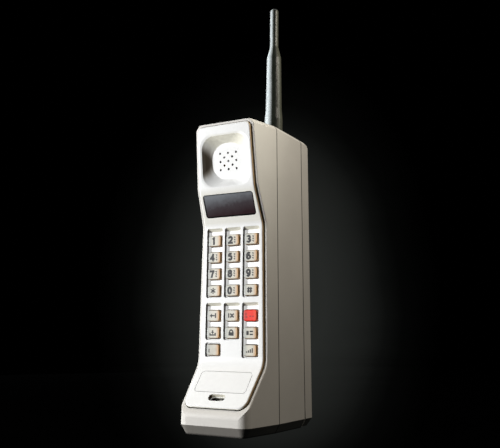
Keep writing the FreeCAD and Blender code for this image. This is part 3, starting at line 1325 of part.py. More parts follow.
def build():
    os.makedirs("parts", exist_ok=True)
    shapes = {name: make() for name, make in PARTS.items()}
    for name in KEYS:
        shapes[name] = make_key(name)
    for name, shape in shapes.items():
        shape.exportStep(os.path.join("parts", name + ".step"))
        size = shape.BoundBox
        place = [size.XMin, size.XMax, size.YMin, size.YMax, size.ZMin, size.ZMax]
        print(f"{name:18s} {len(shape.Solids):2d} {shape.isValid()} {shape.Volume:10.1f}",
              " ".join(f"{value:8.2f}" for value in place))


build()
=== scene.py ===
import json
import math

import bmesh
import bpy
from mathutils import Matrix, Vector
from mathutils.geometry import delaunay_2d_cdt


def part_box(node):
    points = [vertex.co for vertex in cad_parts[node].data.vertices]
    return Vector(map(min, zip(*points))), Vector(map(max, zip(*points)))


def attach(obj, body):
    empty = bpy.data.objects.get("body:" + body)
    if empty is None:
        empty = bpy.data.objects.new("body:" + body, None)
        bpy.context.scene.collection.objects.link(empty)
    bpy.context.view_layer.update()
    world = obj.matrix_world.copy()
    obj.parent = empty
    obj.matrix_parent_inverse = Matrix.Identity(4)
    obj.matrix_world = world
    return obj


# The looks of a handheld cellular telephone: moulded plastics, key legends, an antenna and a dark studio.
# Metres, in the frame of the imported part. MM turns a size in millimetres into metres.
# Some light and shade is painted into the materials. It stays where it is when the view or the lamps change.

MM = 0.001

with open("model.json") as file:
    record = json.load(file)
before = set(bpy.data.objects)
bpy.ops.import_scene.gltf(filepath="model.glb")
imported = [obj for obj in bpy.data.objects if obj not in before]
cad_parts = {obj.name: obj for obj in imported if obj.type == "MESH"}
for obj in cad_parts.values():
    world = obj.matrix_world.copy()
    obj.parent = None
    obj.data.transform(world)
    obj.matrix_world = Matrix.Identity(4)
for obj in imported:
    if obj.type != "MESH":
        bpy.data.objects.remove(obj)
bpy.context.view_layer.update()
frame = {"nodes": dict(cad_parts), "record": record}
nodes = frame["nodes"]

# ---------------------------------------------------------------- camera, matched to the photograph
IMAGE_WIDTH = 500                       # pixels across the photograph
CAMERA_PLACE = Vector((269.0, -471.9, 63.2)) * MM
CAMERA_YAW = math.radians(29.59)        # to the left of straight ahead
CAMERA_PITCH = math.radians(9.05)       # upwards
CAMERA_ROLL = math.radians(0.65)
FOCAL_PIXELS = 733.1
SENSOR_WIDTH = 36.0
CLIP_START = 0.01

# ---------------------------------------------------------------- legends, in millimetres
DIGIT_HEIGHT = 5.8
DIGIT_WIDTH = 4.05
DIGIT_STROKE = 1.58
DIGIT_SHIFT = -1.75                     # digits stand left of the key's middle, beside their small marks
ONE_SHIFT = -0.8
SIGN_SHIFT = -0.6
LEGEND_DEPTH = 0.03                     # how far the ink stands on each side of the key's front
JOIN_REACH = 1e-4                       # corners of strokes that are closer than this are joined
ARC_STEPS = 16
RING_STEPS = 32
HULL_TRIANGLES = 0                      # asks delaunay_2d_cdt for triangles over the whole hull
MARK_WIDTH = 1.25
MARK_HEIGHT = 1.05
MARK_PITCH = 1.65
MARK_SHIFT = 1.75
MARK_ROWS = (-1, 0, 1)
T = 1.0                                 # stroke of the star, the hash and the pictograms

# ---------------------------------------------------------------- light: metres, watts and degrees
KEY_LIGHT = dict(place=(-0.82, -0.74, 0.17), aim=(0.0, 0.0, 0.10), size=(0.30, 0.50), power=20.6,
                 colour=(1.0, 1.0, 1.0))
LEFT_CARD = dict(place=(-0.75, 0.30, 0.32), aim=(0.0, 0.0, 0.22), size=(0.8, 0.9), power=9.0,
                 colour=(0.93, 1.0, 1.0))
TOP_LIGHT = dict(place=(-0.1, 0.25, 0.9), aim=(0.0, 0.0, 0.2), size=(0.5, 0.5), power=1.2,
                 colour=(1.0, 1.0, 1.0))
SIDE_FILL = dict(place=(0.26, -0.03, 0.42), aim=(0.03, -0.03, 0.17), size=(0.06, 0.06), power=0.80,
                 colour=(1.0, 0.92, 0.80))
SIDE_SPOT = dict(place=(0.653, 0.217, 0.517), aim=(0.03, -0.22, 0.27), angle=39.0, power=20.0,
                 colour=(1.0, 0.99, 0.88))
SKY_COLOUR = (0.85, 0.90, 0.92, 1.0)
SKY_STRENGTH = 0.04
SPOT_RADIUS = 0.03                      # of the spot's bulb

# ---------------------------------------------------------------- colours
HOUSING = (0.665, 0.642, 0.600)
PANEL = (0.905, 0.908, 0.900)
KEY = (0.69, 0.66, 0.57)
# KEY_SHADE and RED_SHADE are shade painted at a key's left; AMBER and RED_RIM are an amber painted glow at
# its right.
KEY_SHADE = (0.40, 0.43, 0.42)
AMBER = (0.66, 0.36, 0.14)
RED = (0.92, 0.022, 0.006)
RED_SHADE = (0.50, 0.02, 0.01)
RED_RIM = (0.95, 0.10, 0.04)

# ---------------------------------------------------------------- light and shade painted on the surfaces
# A pair is where the shade starts and where it is full. A TURN pair says how far the surface faces right, to
# the back or up, from -1 to 1. Lengths are in millimetres.
SHADE_SAMPLES = 8
BEVEL_SAMPLES = 4
# Painted shade darkens the surface where other surfaces are near.
CREVICE_REACH = 1.6                     # how near another surface must be to darken a crevice
CREVICE_FADE = ((0.15, 0.01), (0.45, 0.35), (0.80, 1.0))    # how open a surface is, and how bright it stays

# Painted shade, with an amber painted glow, on the panel's walls that face right, and a warm painted shade on
# those that face down.
WALL_SHADE_GLOW = (0.42, 0.29, 0.15)               # the panel's walls that face right
WALL_SHADE_GLOW_TURN = (0.35, 0.80)
WALL_SHADE_DARK = 0.12                        # how bright those inside the panel stay
DARK_TURN = (0.40, 0.80)
OUTER_WALL = (12.0, 20.0)               # how far right the dark inside the panel fades, and where it ends
DOWN_SHADE_TINT = (1.0, 0.97, 0.84)           # the panel's walls that face down
DOWN_TURN = (-0.15, -0.6)
# Painted light: the panel's sunk floors glow, though they are no lamp.
CHANNEL_REACH = 5.0                     # how near another surface must be to make a floor a sunk one
CHANNEL_OPEN = (0.95, 0.55)             # how open a sunk floor is
CHANNEL_TURN = (-0.6, -0.95)
CHANNEL_LIGHT = 0.66                    # strength of the light that sunk floors give off

# Painted shade on the casing's undersides and in its seams.
CASING_SHADE_COLOUR = (0.050, 0.042, 0.030)           # the casing's undersides and seams
UNDERSIDE_SHADE_SHARE = 0.72
UNDER_TURN = (-0.40, -0.47)
SEAMS = (-7.3, 34.9)                    # depths of the two seams round the casing
SEAM_SHADOW_WIDTHS = (0.55, 0.30)                # half widths of the dark line in a seam
SEAM_SHADE = 0.35

KEY_CREVICE = 1.1                       # CREVICE_REACH of the keys
KEY_WANDER = 0.08                       # how uneven the bounds between a key's tones are
# Edges painted amber stand for a glow through the plastic; the dark edges and the dark band at the top are
# painted shade.
KEY_LIT_TURN = ((0.25, 0.8), (-0.3, -0.8))      # how far right, and how far up, a key's amber edges face
KEY_LIT_SHADE = 0.42
KEY_DARK_TURN = ((-0.3, -0.8), (0.35, 0.85))    # the same for its dark edges
KEY_DARK_SHADE = 0.14
KEY_TOP = (0.89, 0.97)                  # how far up a key its dark band is
KEY_TOP_SHARE = 0.75
KEY_TOP_SHADE = 0.20

# From the antenna's left to its right, as the photograph's camera stands, and the tone there: a painted
# highlight at the left and a dim painted reflection at the right.
ANTENNA_HIGHLIGHT_TONES = (
    (0.02, (0.08, 0.09, 0.09)), (0.10, (0.60, 0.66, 0.68)), (0.24, (0.40, 0.44, 0.45)),
    (0.38, (0.012, 0.015, 0.011)), (0.66, (0.010, 0.013, 0.010)), (0.76, (0.060, 0.062, 0.046)),
    (0.94, (0.085, 0.088, 0.068)), (1.0, (0.05, 0.05, 0.04)))
# From the window's foot to its top, and the tone there. It gets lighter and bluer towards the top.
WINDOW_TONES = ((0.05, (0.030, 0.014, 0.017)), (0.45, (0.056, 0.046, 0.052)), (0.95, (0.20, 0.215, 0.235)))
WINDOW_EDGE_BLACK = (0.004, 0.004, 0.004)
WINDOW_BORDER = (0.75, 1.05)            # how far in from its edge the mask fades
WINDOW_DUST = 0.35                      # how far the dust shifts the window's tones
WINDOW_DRIFT = 0.25                     # how far its left is lighter than its right

# Noise on the surfaces: scale (about grains to a metre), detail and, where it isn't 0.5, roughness.
MOTTLE = (26.0, 4.0, 0.55)
SPECKLE = (1900.0, 3.0, 0.7)
POLISH = (60.0, 3.0)
TEXTURE = (2600.0, 3.0, 0.6)
KEY_EDGES = (420.0, 2.0)
KEY_RUBBING = (230.0, 4.0)
KEY_POLISH = (300.0, 3.0)
KEY_TEXTURE = (2200.0, 2.0)
SLEEVE_TONE = (90.0, 4.0)
SLEEVE_RIPPLE = (140.0, 2.0)
HANDLING = (260.0, 5.0, 0.7)
HIGHLIGHT_WOBBLE = (40.0, 3.0)
DUST = (170.0, 5.0, 0.65)
WINDOW_POLISH = (500.0, 4.0)
METAL_TONE = (240.0, 4.0)
METAL_POLISH = (900.0, 4.0)
METAL_TEXTURE = (900.0, 3.0)
RUBBER_TONE = (320.0, 4.0)
RUBBER_TEXTURE = (1500.0, 3.0)
INK_WEAR = (1500.0, 3.0)
TRACKS_SCALE = 420.0
NOISE_RANGE = (0.3, 0.7)                # where most of a noise's values lie


# ---------------------------------------------------------------- materials
class Nodes:
    """A short way to write a node tree."""

    def __init__(self, name):
        self.material = bpy.data.materials.new(name)
        self.material.use_nodes = True
        self.tree = self.material.node_tree
        self.shader = self.tree.nodes["Principled BSDF"]

    def add(self, kind, inputs=None, **settings):
        node = self.tree.nodes.new(kind)
        for key, value in settings.items():
            setattr(node, key, value)
        for key, value in (inputs or {}).items():
            self.put(value, node.inputs[key])
        return node

    def put(self, value, socket):
        if isinstance(value, bpy.types.NodeSocket):
            self.tree.links.new(value, socket)
        else:
            socket.default_value = value

    def math(self, operation, *values):
        node = self.add("ShaderNodeMath", operation=operation)
        for socket, value in zip(node.inputs, values):
            self.put(value, socket)
        return node.outputs[0]

    def place(self):
        return self.add("ShaderNodeTexCoord").outputs["Object"]

    def split(self, vector):
        return self.add("ShaderNodeSeparateXYZ", {"Vector": vector}).outputs

    def generated(self):
        return self.split(self.add("ShaderNodeTexCoord").outputs["Generated"])

    def facing(self):
        """X, Y and Z of the surface's own direction."""
        return self.split(self.add("ShaderNodeNewGeometry").outputs["Normal"])

    def noise(self, scale, detail, roughness=0.5):
        settings = {"Vector": self.place(), "Scale": scale, "Detail": detail, "Roughness": roughness}
        return self.add("ShaderNodeTexNoise", settings).outputs["Fac"]

    def wander(self, amount, noise):
        """A value about 0 that wanders up and down by half the amount."""
        return self.math("MULTIPLY", self.math("SUBTRACT", self.noise(*noise), 0.5), amount)

    def vary(self, noise, low, high):
        """A tone between low and high that follows a noise."""
        start, end = NOISE_RANGE
        return self.ramp(self.noise(*noise), (start, low), (end, high))

    def ramp(self, value, *stops):
        node = self.add("ShaderNodeValToRGB", {"Fac": value})
        ramp = node.color_ramp
        while len(ramp.elements) < len(stops):
            ramp.elements.new(0.5)
        for element, (position, colour) in zip(ramp.elements, stops):
            element.position = position
            element.color = (*colour, 1.0)
        return node.outputs["Color"]

    def step(self, value, start, full):
        """0 before the start and 1 past full, smooth between them. Either may be the higher."""
        node = self.add("ShaderNodeMapRange", {"Value": value, "From Min": start, "From Max": full},
                        interpolation_type="SMOOTHSTEP")
        return node.outputs["Result"]

    def mix(self, share, a, b, blend="MIX"):
        node = self.add("ShaderNodeMix", data_type="RGBA", blend_type=blend)
        self.put(share, node.inputs[0])
        for key, value in (("A", a), ("B", b)):
            self.put((*value, 1.0) if isinstance(value, tuple) else value, node.inputs[key])
        return node.outputs["Result"]

    def openness(self, reach):
        """1 on open surfaces, and less where others are nearer than the reach in millimetres."""
        node = self.add("ShaderNodeAmbientOcclusion", {"Distance": reach * MM}, samples=SHADE_SAMPLES)
        return node.outputs["AO"]

    def crevice_shade(self, reach):
        """Painted shade: white on open surfaces and black deep in narrow gaps."""
        return self.ramp(self.openness(reach), *((share, grey(bright)) for share, bright in CREVICE_FADE))

    def bump(self, height, strength, distance, normal=None):
        node = self.add("ShaderNodeBump", {"Height": height, "Strength": strength, "Distance": distance})
        if normal:
            self.put(normal, node.inputs["Normal"])
        return node.outputs["Normal"]

    def set(self, **inputs):
        for key, value in inputs.items():
            self.put(value, self.shader.inputs[key.replace("_", " ")])
        return self.material


def grey(value):
    return value, value, value


def scaled(colour, factor):
    return tuple(min(1.0, c * factor) for c in colour)


def moulded(name, colour, roughness=0.42, grain=0.35, edge=0.35, aged=0.05, panel=False, casing=False):
    """Injection-moulded plastic: a spark-eroded grain, slight mottling, softly broken edges, and painted
    shade deep in each narrow gap. The panel's walls and the casing's seams and undersides have shade painted
    on them, and the panel's sunk floors give off painted light."""
    n = Nodes(name)
    tone = n.vary(MOTTLE, scaled(colour, 1.0 - aged), scaled(colour, 1.0 + aged * 0.5))
    speckle = n.ramp(n.noise(*SPECKLE), (0.35, grey(0.93)), (0.65, grey(1.0)))
    tone = n.mix(0.8, tone, speckle, "MULTIPLY")
    if panel:
        tone = panel_shade(n, tone, colour)
    if casing:
        tone = casing_shade(n, tone)
    tone = n.mix(1.0, tone, n.crevice_shade(CREVICE_REACH), "MULTIPLY")
    gloss = n.vary(POLISH, grey(roughness - 0.04), grey(roughness + 0.05))
    rounded = n.add("ShaderNodeBevel", {"Radius": edge * MM}, samples=BEVEL_SAMPLES).outputs["Normal"]
    normal = n.bump(n.noise(*TEXTURE), grain, 0.03 * MM, rounded)
    return n.set(Base_Color=tone, Roughness=gloss, Normal=normal, Specular_IOR_Level=0.45)


def panel_shade(n, tone, colour):
    """Painted shade and glow: walls that face right go brown, and dark inside the panel, and walls that face
    down go warmer. Sunk floors give off painted light.
    """
    right, ahead, up = n.facing()
    # Painted shade and glow on walls that face right, and warm painted shade on walls that face down.
    tone = n.mix(n.step(right, *WALL_SHADE_GLOW_TURN), tone, WALL_SHADE_GLOW)
    tone = n.mix(n.step(up, *DOWN_TURN), tone, n.mix(1.0, tone, DOWN_SHADE_TINT, "MULTIPLY"))
    outer = n.step(n.split(n.place())[0], *(x * MM for x in OUTER_WALL))
    dark = n.math("MULTIPLY", n.step(right, *DARK_TURN), n.math("SUBTRACT", 1.0, outer))
    # Painted light from the sunk floors.
    painted_floor_light = n.math("MULTIPLY", n.step(n.openness(CHANNEL_REACH), *CHANNEL_OPEN), n.step(ahead, *CHANNEL_TURN))
    n.set(Emission_Color=(*colour, 1.0), Emission_Strength=n.math("MULTIPLY", painted_floor_light, CHANNEL_LIGHT))
    return n.mix(dark, tone, scaled(WALL_SHADE_GLOW, WALL_SHADE_DARK))


def casing_shade(n, tone):
    """Painted shade on the undersides, and a dark line of painted shade along each seam."""
    up = n.facing()[2]
    # Painted shade on the undersides and along the seams.
    tone = n.mix(n.math("MULTIPLY", n.step(up, *UNDER_TURN), UNDERSIDE_SHADE_SHARE), tone, CASING_SHADE_COLOUR)
    depth = n.split(n.place())[1]
    near = [n.math("ABSOLUTE", n.math("SUBTRACT", depth, seam * MM)) for seam in SEAMS]
    seam_shadow = n.step(n.math("MINIMUM", *near), *(width * MM for width in SEAM_SHADOW_WIDTHS))
    return n.mix(seam_shadow, tone, scaled(CASING_SHADE_COLOUR, SEAM_SHADE))


def key_plastic(name, colour, shade, rim, faded=0.0):
    """A key cap of slightly clear plastic. Shade is painted at its left and top and in its narrow gaps, and
    an amber painted glow at its right.
    """
    n = Nodes(name)
    right, _, up = n.facing()
    x, _, z = n.generated()
    across = n.math("ADD", x, n.wander(KEY_WANDER, KEY_EDGES))
    tone = n.ramp(across, (0.08, shade), (0.40, colour), (0.66, colour), (0.90, rim))
    # Painted amber glow on edges that face right and down, and painted shade on edges that face left and up
    # and in a band at the top.
    for (sideways, upright), share in ((KEY_LIT_TURN, KEY_LIT_SHADE), (KEY_DARK_TURN, KEY_DARK_SHADE)):
        edge = n.math("MAXIMUM", n.step(right, *sideways), n.step(up, *upright))
        tone = n.mix(edge, tone, scaled(rim, share))
    tone = n.mix(n.math("MULTIPLY", n.step(z, *KEY_TOP), KEY_TOP_SHARE), tone, scaled(rim, KEY_TOP_SHADE))
    tone = n.mix(1.0, tone, n.crevice_shade(KEY_CREVICE), "MULTIPLY")
    if faded:
        rub = n.ramp(n.noise(*KEY_RUBBING), (0.35, grey(1.0 - faded)), (0.6, grey(1.0)))
        tone = n.mix(1.0, tone, rub, "MULTIPLY")
    gloss = n.vary(KEY_POLISH, grey(0.30), grey(0.40))
    normal = n.bump(n.noise(*KEY_TEXTURE), 0.2, 0.02 * MM)
    return n.set(Base_Color=tone, Roughness=gloss, Normal=normal, Specular_IOR_Level=0.3)


def shrink_sleeve(name, colour, roughness, ripple):
    """The glossy sleeve shrunk round a battery cell, with slight waviness and handling marks."""
    n = Nodes(name)
    tone = n.vary(SLEEVE_TONE, scaled(colour, 0.85), scaled(colour, 1.2))
    gloss = n.ramp(n.noise(*HANDLING), (0.35, grey(roughness * 0.8)), (0.75, grey(roughness * 1.5)))
    normal = n.bump(n.noise(*SLEEVE_RIPPLE), ripple, 0.1 * MM)
    return n.set(Base_Color=tone, Roughness=gloss, Normal=normal, Specular_IOR_Level=0.6)


def antenna_gloss(name):
    """A glossy dark antenna with a pale painted highlight at its left and a dim painted reflection at its
    right, as they show from the photograph's side."""
    n = Nodes(name)
    right, ahead, _ = n.facing()
    # The painted highlight and reflection follow one fixed direction across the antenna.
    turned = n.math("ADD", n.math("MULTIPLY", right, math.cos(CAMERA_YAW)),
                    n.math("MULTIPLY", ahead, math.sin(CAMERA_YAW)))
    highlight_wobble = n.wander(0.10, HIGHLIGHT_WOBBLE)
    side = n.math("ADD", n.math("MULTIPLY", turned, 0.5), n.math("ADD", highlight_wobble, 0.5))
    tone = n.ramp(side, *ANTENNA_HIGHLIGHT_TONES)
    gloss = n.ramp(n.noise(*HANDLING), (0.35, grey(0.30)), (0.75, grey(0.42)))
    return n.set(Base_Color=tone, Roughness=gloss, Specular_IOR_Level=0.25)


def display_glass(name):
    """A dark red filter over the display, black round its edge, lighter and bluer towards its top and lighter
    at its left, with a faint bloom of dust.
    """
    n = Nodes(name)
    x, _, z = n.generated()
    drift = n.math("MULTIPLY", n.math("SUBTRACT", 0.5, x), WINDOW_DRIFT)
    height = n.math("ADD", n.math("ADD", z, n.wander(WINDOW_DUST, DUST)), drift)
    tone = n.ramp(height, *WINDOW_TONES)
    low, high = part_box("display_window")

    def from_edge(share, size):
        off_middle = n.math("ABSOLUTE", n.math("SUBTRACT", share, 0.5))
        return n.math("MULTIPLY", n.math("SUBTRACT", 0.5, off_middle), size)

    beside = from_edge(x, (high.x - low.x) / MM)
    below = from_edge(z, (high.z - low.z) / MM)
    mask = n.step(n.math("MINIMUM", beside, below), *WINDOW_BORDER)
    tone = n.mix(mask, WINDOW_EDGE_BLACK, tone)
    gloss = n.vary(WINDOW_POLISH, grey(0.16), grey(0.26))
    return n.set(Base_Color=tone, Roughness=gloss, Specular_IOR_Level=0.5)


def metal(name, colour, roughness):
    """Bare metal with a fine grain."""
    n = Nodes(name)
    tone = n.vary(METAL_TONE, scaled(colour, 0.88), colour)
    gloss = n.vary(METAL_POLISH, grey(roughness * 0.8), grey(roughness * 1.25))
    normal = n.bump(n.noise(*METAL_TEXTURE), 0.25, 0.02 * MM)
    return n.set(Base_Color=tone, Roughness=gloss, Normal=normal, Metallic=1.0)


def rubber(name, colour, roughness=0.62):
    """Matt rubber or dark plastic."""
    n = Nodes(name)
    tone = n.vary(RUBBER_TONE, scaled(colour, 0.8), scaled(colour, 1.2))
    normal = n.bump(n.noise(*RUBBER_TEXTURE), 0.4, 0.04 * MM)
    return n.set(Base_Color=tone, Roughness=roughness, Normal=normal, Specular_IOR_Level=0.35)


def circuit_board(name):
    """Green solder mask over a copper layout of short straight tracks."""
    n = Nodes(name)
    tracks = n.add("ShaderNodeTexBrick", {
        "Vector": n.place(), "Scale": TRACKS_SCALE, "Mortar Size": 0.03, "Color1": (0.03, 0.15, 0.06, 1),
        "Color2": (0.04, 0.18, 0.07, 1), "Mortar": (0.09, 0.30, 0.12, 1)})
    normal = n.bump(tracks.outputs["Fac"], 0.3, 0.03 * MM)
    return n.set(Base_Color=tracks.outputs["Color"], Roughness=0.3, Normal=normal)


def ink(name, colour, worn):
    """Printed legend ink, slightly worn."""
    n = Nodes(name)
    tone = n.ramp(n.noise(*INK_WEAR), (0.3, colour), (0.75, tuple(c + worn * 0.2 for c in colour)))
    return n.set(Base_Color=tone, Roughness=0.5, Specular_IOR_Level=0.3)


FINISHES = {
    "housing_plastic": moulded("housing_plastic", HOUSING, roughness=0.46, grain=0.5, casing=True),
    "battery_plastic": moulded("battery_plastic", scaled(HOUSING, 0.95), roughness=0.48, grain=0.5,
                               casing=True),
    "panel_plastic": moulded("panel_plastic", PANEL, roughness=0.40, grain=0.25, edge=0.25, aged=0.025,
                             panel=True),
    "plate_plastic": moulded("plate_plastic", scaled(PANEL, 0.985), roughness=0.34, grain=0.12, edge=0.15,
                             aged=0.02),
    "key_plastic": key_plastic("key_plastic", KEY, KEY_SHADE, AMBER),
    "red_key_plastic": key_plastic("red_key_plastic", RED, RED_SHADE, RED_RIM),
    "worn_key_plastic": key_plastic("worn_key_plastic", scaled(KEY, 0.9), KEY_SHADE, AMBER, faded=0.12),
    "window": display_glass("window"),
    "display_black": rubber("display_black", (0.02, 0.008, 0.008), 0.4),
    "black_rubber": rubber("black_rubber", (0.018, 0.017, 0.016)),
    "mat_rubber": rubber("mat_rubber", (0.32, 0.31, 0.29)),
    "speaker": rubber("speaker", (0.02, 0.02, 0.02), 0.5),
    "black_plastic": moulded("black_plastic", (0.022, 0.022, 0.023), roughness=0.4, grain=0.3, edge=0.15),
    "antenna_grey": antenna_gloss("antenna_grey"),
    "circuit_board": circuit_board("circuit_board"),
    "tin_metal": metal("tin_metal", (0.70, 0.70, 0.68), 0.28),
    "cast_aluminium": metal("cast_aluminium", (0.62, 0.62, 0.63), 0.5),
    "duplexer_metal": metal("duplexer_metal", (0.66, 0.65, 0.61), 0.32),
    "screw_steel": metal("screw_steel", (0.55, 0.55, 0.56), 0.3),
    "contact_metal": metal("contact_metal", (0.83, 0.64, 0.28), 0.25),
    "cell_wrap": shrink_sleeve("cell_wrap", (0.06, 0.16, 0.36), 0.3, 0.1),
}

for part in frame["record"]["subparts"]:
    mesh = nodes[part["node"]].data
    mesh.materials.clear()
    mesh.materials.append(FINISHES[part["material_slot"]])

LEGEND_INK = ink("legend_ink", (0.007, 0.007, 0.009), worn=0.05)
MARK_INK = ink("mark_ink", (0.022, 0.021, 0.02), worn=0.1)
FADED_INK = ink("faded_ink", (0.06, 0.055, 0.05), worn=0.3)
RED_KEY_INK = ink("red_key_ink", (0.30, 0.014, 0.010), worn=0.1)


# ---------------------------------------------------------------- strokes for the legends, in millimetres
def bar(x, z, width, height, turn=0.0):
    """A rectangle about a middle, turned anticlockwise by an angle in radians."""
    c, s = math.cos(turn), math.sin(turn)
    corners = [(-1, -1), (1, -1), (1, 1), (-1, 1)]
    return [(x + (u * width * c - v * height * s) / 2, z + (u * width * s + v * height * c) / 2)
            for u, v in corners]


def line(start, end, width):
    """A straight stroke with square ends, from start to end."""
    (x0, z0), (x1, z1) = start, end
    length, turn = math.hypot(x1 - x0, z1 - z0), math.atan2(z1 - z0, x1 - x0)
    return bar((x0 + x1) / 2, (z0 + z1) / 2, length, width, turn)


def sweep(x, z, across, up, start, end, width, steps=ARC_STEPS):
    """A bent stroke along an ellipse's middle line, as quads, from angle start to angle end in degrees."""
    half = width / 2

    def point(grow, angle):
        return x + (across + grow) * math.cos(angle), z + (up + grow) * math.sin(angle)

    angles = [math.radians(start + (end - start) * i / steps) for i in range(steps + 1)]
    return [[point(-half, a), point(half, a), point(half, b), point(-half, b)]
            for a, b in zip(angles, angles[1:])]


def digit(number):
    """The strokes of a bold digit, about the middle of its box."""
    t = DIGIT_STROKE
    w, h = DIGIT_WIDTH / 2 - t / 2, DIGIT_HEIGHT / 2 - t / 2        # half sizes of the strokes' middle lines
    r = h / 2                                                       # half height of each bow of a 3
    if number == 0:
        return sweep(0, 0, w, h, 0, 360, t, RING_STEPS)
    if number == 1:
        return [bar(0.2, 0, t, 2 * h + t), line((-1.15, h - 0.75), (0.2, h - 0.15), 0.8 * t)]
    if number == 2:
        return sweep(0, h - w, w, w, -32, 172, t) + [
            line((w * 0.86, h - 1.55 * w), (-w * 0.75, -h + 0.1), t), bar(0, -h, 2 * w + t, t)]
    if number == 3:
        bows = sweep(-0.05, r, 0.86 * w, r, -90, 158, t) + sweep(-0.05, -r, w, r, -160, 90, t)
        return bows + [bar(-0.3, 0, 0.8, t)]
    if number == 4:
        return [bar(0.55 * w, 0, t, 2 * h + t), bar(0, -0.42 * h, 2 * w + t, 0.9 * t),
                line((0.5 * w, h), (-w, -0.38 * h), 0.9 * t)]
    if number == 5:
        return [bar(0.1, h, 2 * w, t), line((-0.78 * w, h), (-0.92 * w, 0.0), t)] + \
            sweep(-0.05, -0.36 * h, w, 0.64 * h, -155, 135, t)
    if number == 6:
        return sweep(0, -0.4 * h, w, 0.6 * h, 0, 360, t, RING_STEPS) + sweep(0.05, 0, w + 0.05, h, 42, 182, t)
    if number == 7:
        return [bar(0, h, 2 * w + t, t), line((0.88 * w, h), (-0.35 * w, -h - 0.35 * t), t)]
    if number == 8:
        upper = sweep(0, 0.52 * h, 0.82 * w, 0.48 * h, 0, 360, t, RING_STEPS)
        return upper + sweep(0, -0.46 * h, w, 0.54 * h, 0, 360, t, RING_STEPS)
    return [[(-u, -v) for u, v in face] for face in digit(6)]


def shifted(faces, right):
    """The strokes, moved to the right."""
    return [[(u + right, v) for u, v in face] for face in faces]


def covers(stroke, corners):
    """Whether the middle of some corners lies inside a stroke's outline, which runs anticlockwise."""
    middle = sum(corners, Vector((0.0, 0.0))) / len(corners)
    return all((b - a).cross(middle - a) >= 0.0 for a, b in zip(stroke, stroke[1:] + stroke[:1]))


def legend(name, key, faces, material):
    """A printed legend on a key's front. Its strokes, about the key's middle, are joined into one shape."""
    low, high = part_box(key)
    x, z, front = (low.x + high.x) / 2, (low.z + high.z) / 2, low.y
    points, outlines = [], []
    for corners in faces:
        area = sum(a[0] * b[1] - b[0] * a[1] for a, b in zip(corners, corners[1:] + corners[:1]))
        corners = corners if area > 0 else corners[::-1]
        outlines.append(range(len(points), len(points) + len(corners)))
        points += [Vector(corner) for corner in corners]
    corner_lists = [list(o) for o in outlines]
    joined, _, triangles, _, _, _ = delaunay_2d_cdt(points, [], corner_lists, HULL_TRIANGLES, JOIN_REACH)
    strokes = [[points[i] for i in o] for o in outlines]
    triangles = [t for t in triangles if any(covers(stroke, [joined[i] for i in t]) for stroke in strokes)]
    mesh = bmesh.new()
    near = [mesh.verts.new((x + p.x * MM, front - LEGEND_DEPTH * MM, z + p.y * MM)) for p in joined]
    far = [mesh.verts.new((x + p.x * MM, front + LEGEND_DEPTH * MM, z + p.y * MM)) for p in joined]
    sides = set()
    for corners in triangles:
        mesh.faces.new([near[i] for i in corners])
        mesh.faces.new([far[i] for i in reversed(corners)])
        sides |= set(zip(corners, corners[1:] + corners[:1]))
    for i, j in sorted(sides):
        if (j, i) not in sides:
            mesh.faces.new((near[j], near[i], far[i], far[j]))
    loose = [vertex for vertex in mesh.verts if not vertex.link_faces]
    bmesh.ops.delete(mesh, geom=loose, context="VERTS")
    data = bpy.data.meshes.new(name)
    mesh.to_mesh(data)
    mesh.free()
    data.materials.append(material)
    piece = bpy.data.objects.new(name, data)
    bpy.context.scene.collection.objects.link(piece)
    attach(piece, key)


def small_marks():
    """Three short marks in place of small lettering."""
    marks = []
    for row in MARK_ROWS:
        z, thick = row * MARK_PITCH, 0.6 * MARK_HEIGHT
        marks.append(bar(MARK_SHIFT, z + 0.2 * MARK_HEIGHT, MARK_WIDTH, thick))
        marks.append(bar(MARK_SHIFT + 0.25 * MARK_WIDTH, z - 0.3 * MARK_HEIGHT, 0.45 * MARK_WIDTH, thick))
    return marks


def triangle(x, z, width, height):
    """A solid arrow head. A negative width points it to the left."""
    return [(x - width / 2, z - height / 2), (x + width / 2, z), (x - width / 2, z + height / 2)]


PICTOGRAMS = {
    "key_recall": [triangle(-2.1, 0, -1.9, 3.1), bar(-0.1, 0, 2.6, T), bar(1.9, 0, T, 3.4)],
    "key_clear": [bar(0.5, 0, 3.9, T, math.pi / 4), bar(0.5, 0, 3.9, T, -math.pi / 4), bar(-2.2, 0, T, 3.1)],
    "key_store": [bar(-0.3, -1.6, 5.2, T), bar(-2.5, -0.9, T, 1.6), bar(1.9, -0.9, T, 1.6),
                  bar(-0.3, 1.0, T, 1.6), [(-1.6, 0.5), (-0.3, -0.9), (1.0, 0.5)]],
    "key_lock": [bar(0, -0.8, 4.2, 2.4)] + sweep(0, 0.4, 1.35, 1.5, 0, 180, T),
    "key_end": [bar(-1.8, 0, 1.9, 2.9), bar(1.2, 1.0, 2.6, T), bar(1.2, -1.0, 2.6, T)],
    "key_volume": [bar(-2.4, -1.05, 0.95, 0.9), bar(-0.9, -0.7, 0.95, 1.6), bar(0.6, -0.3, 0.95, 2.4),
                   bar(2.1, 0.1, 0.95, 3.2)],
}
SEND = [triangle(-2.9, 0.9, 1.6, 1.6), bar(-2.9, -1.0, 1.6, T), bar(0.2, -0.6, 1.6, 0.7 * T),
        bar(2.4, -0.6, 1.4, 0.7 * T)]
POWER = [bar(-3.0, -0.6, 0.8 * T, 2.6)]
STAR = [bar(SIGN_SHIFT, 0, 4.4, 0.85 * T, math.pi / 2 + math.pi * i / 3) for i in range(3)]
HASH = [bar(SIGN_SHIFT + side * 0.85, 0, T, 4.1, -0.12) for side in (-1, 1)]
HASH += [bar(SIGN_SHIFT, side * 0.8, 4.1, T) for side in (-1, 1)]

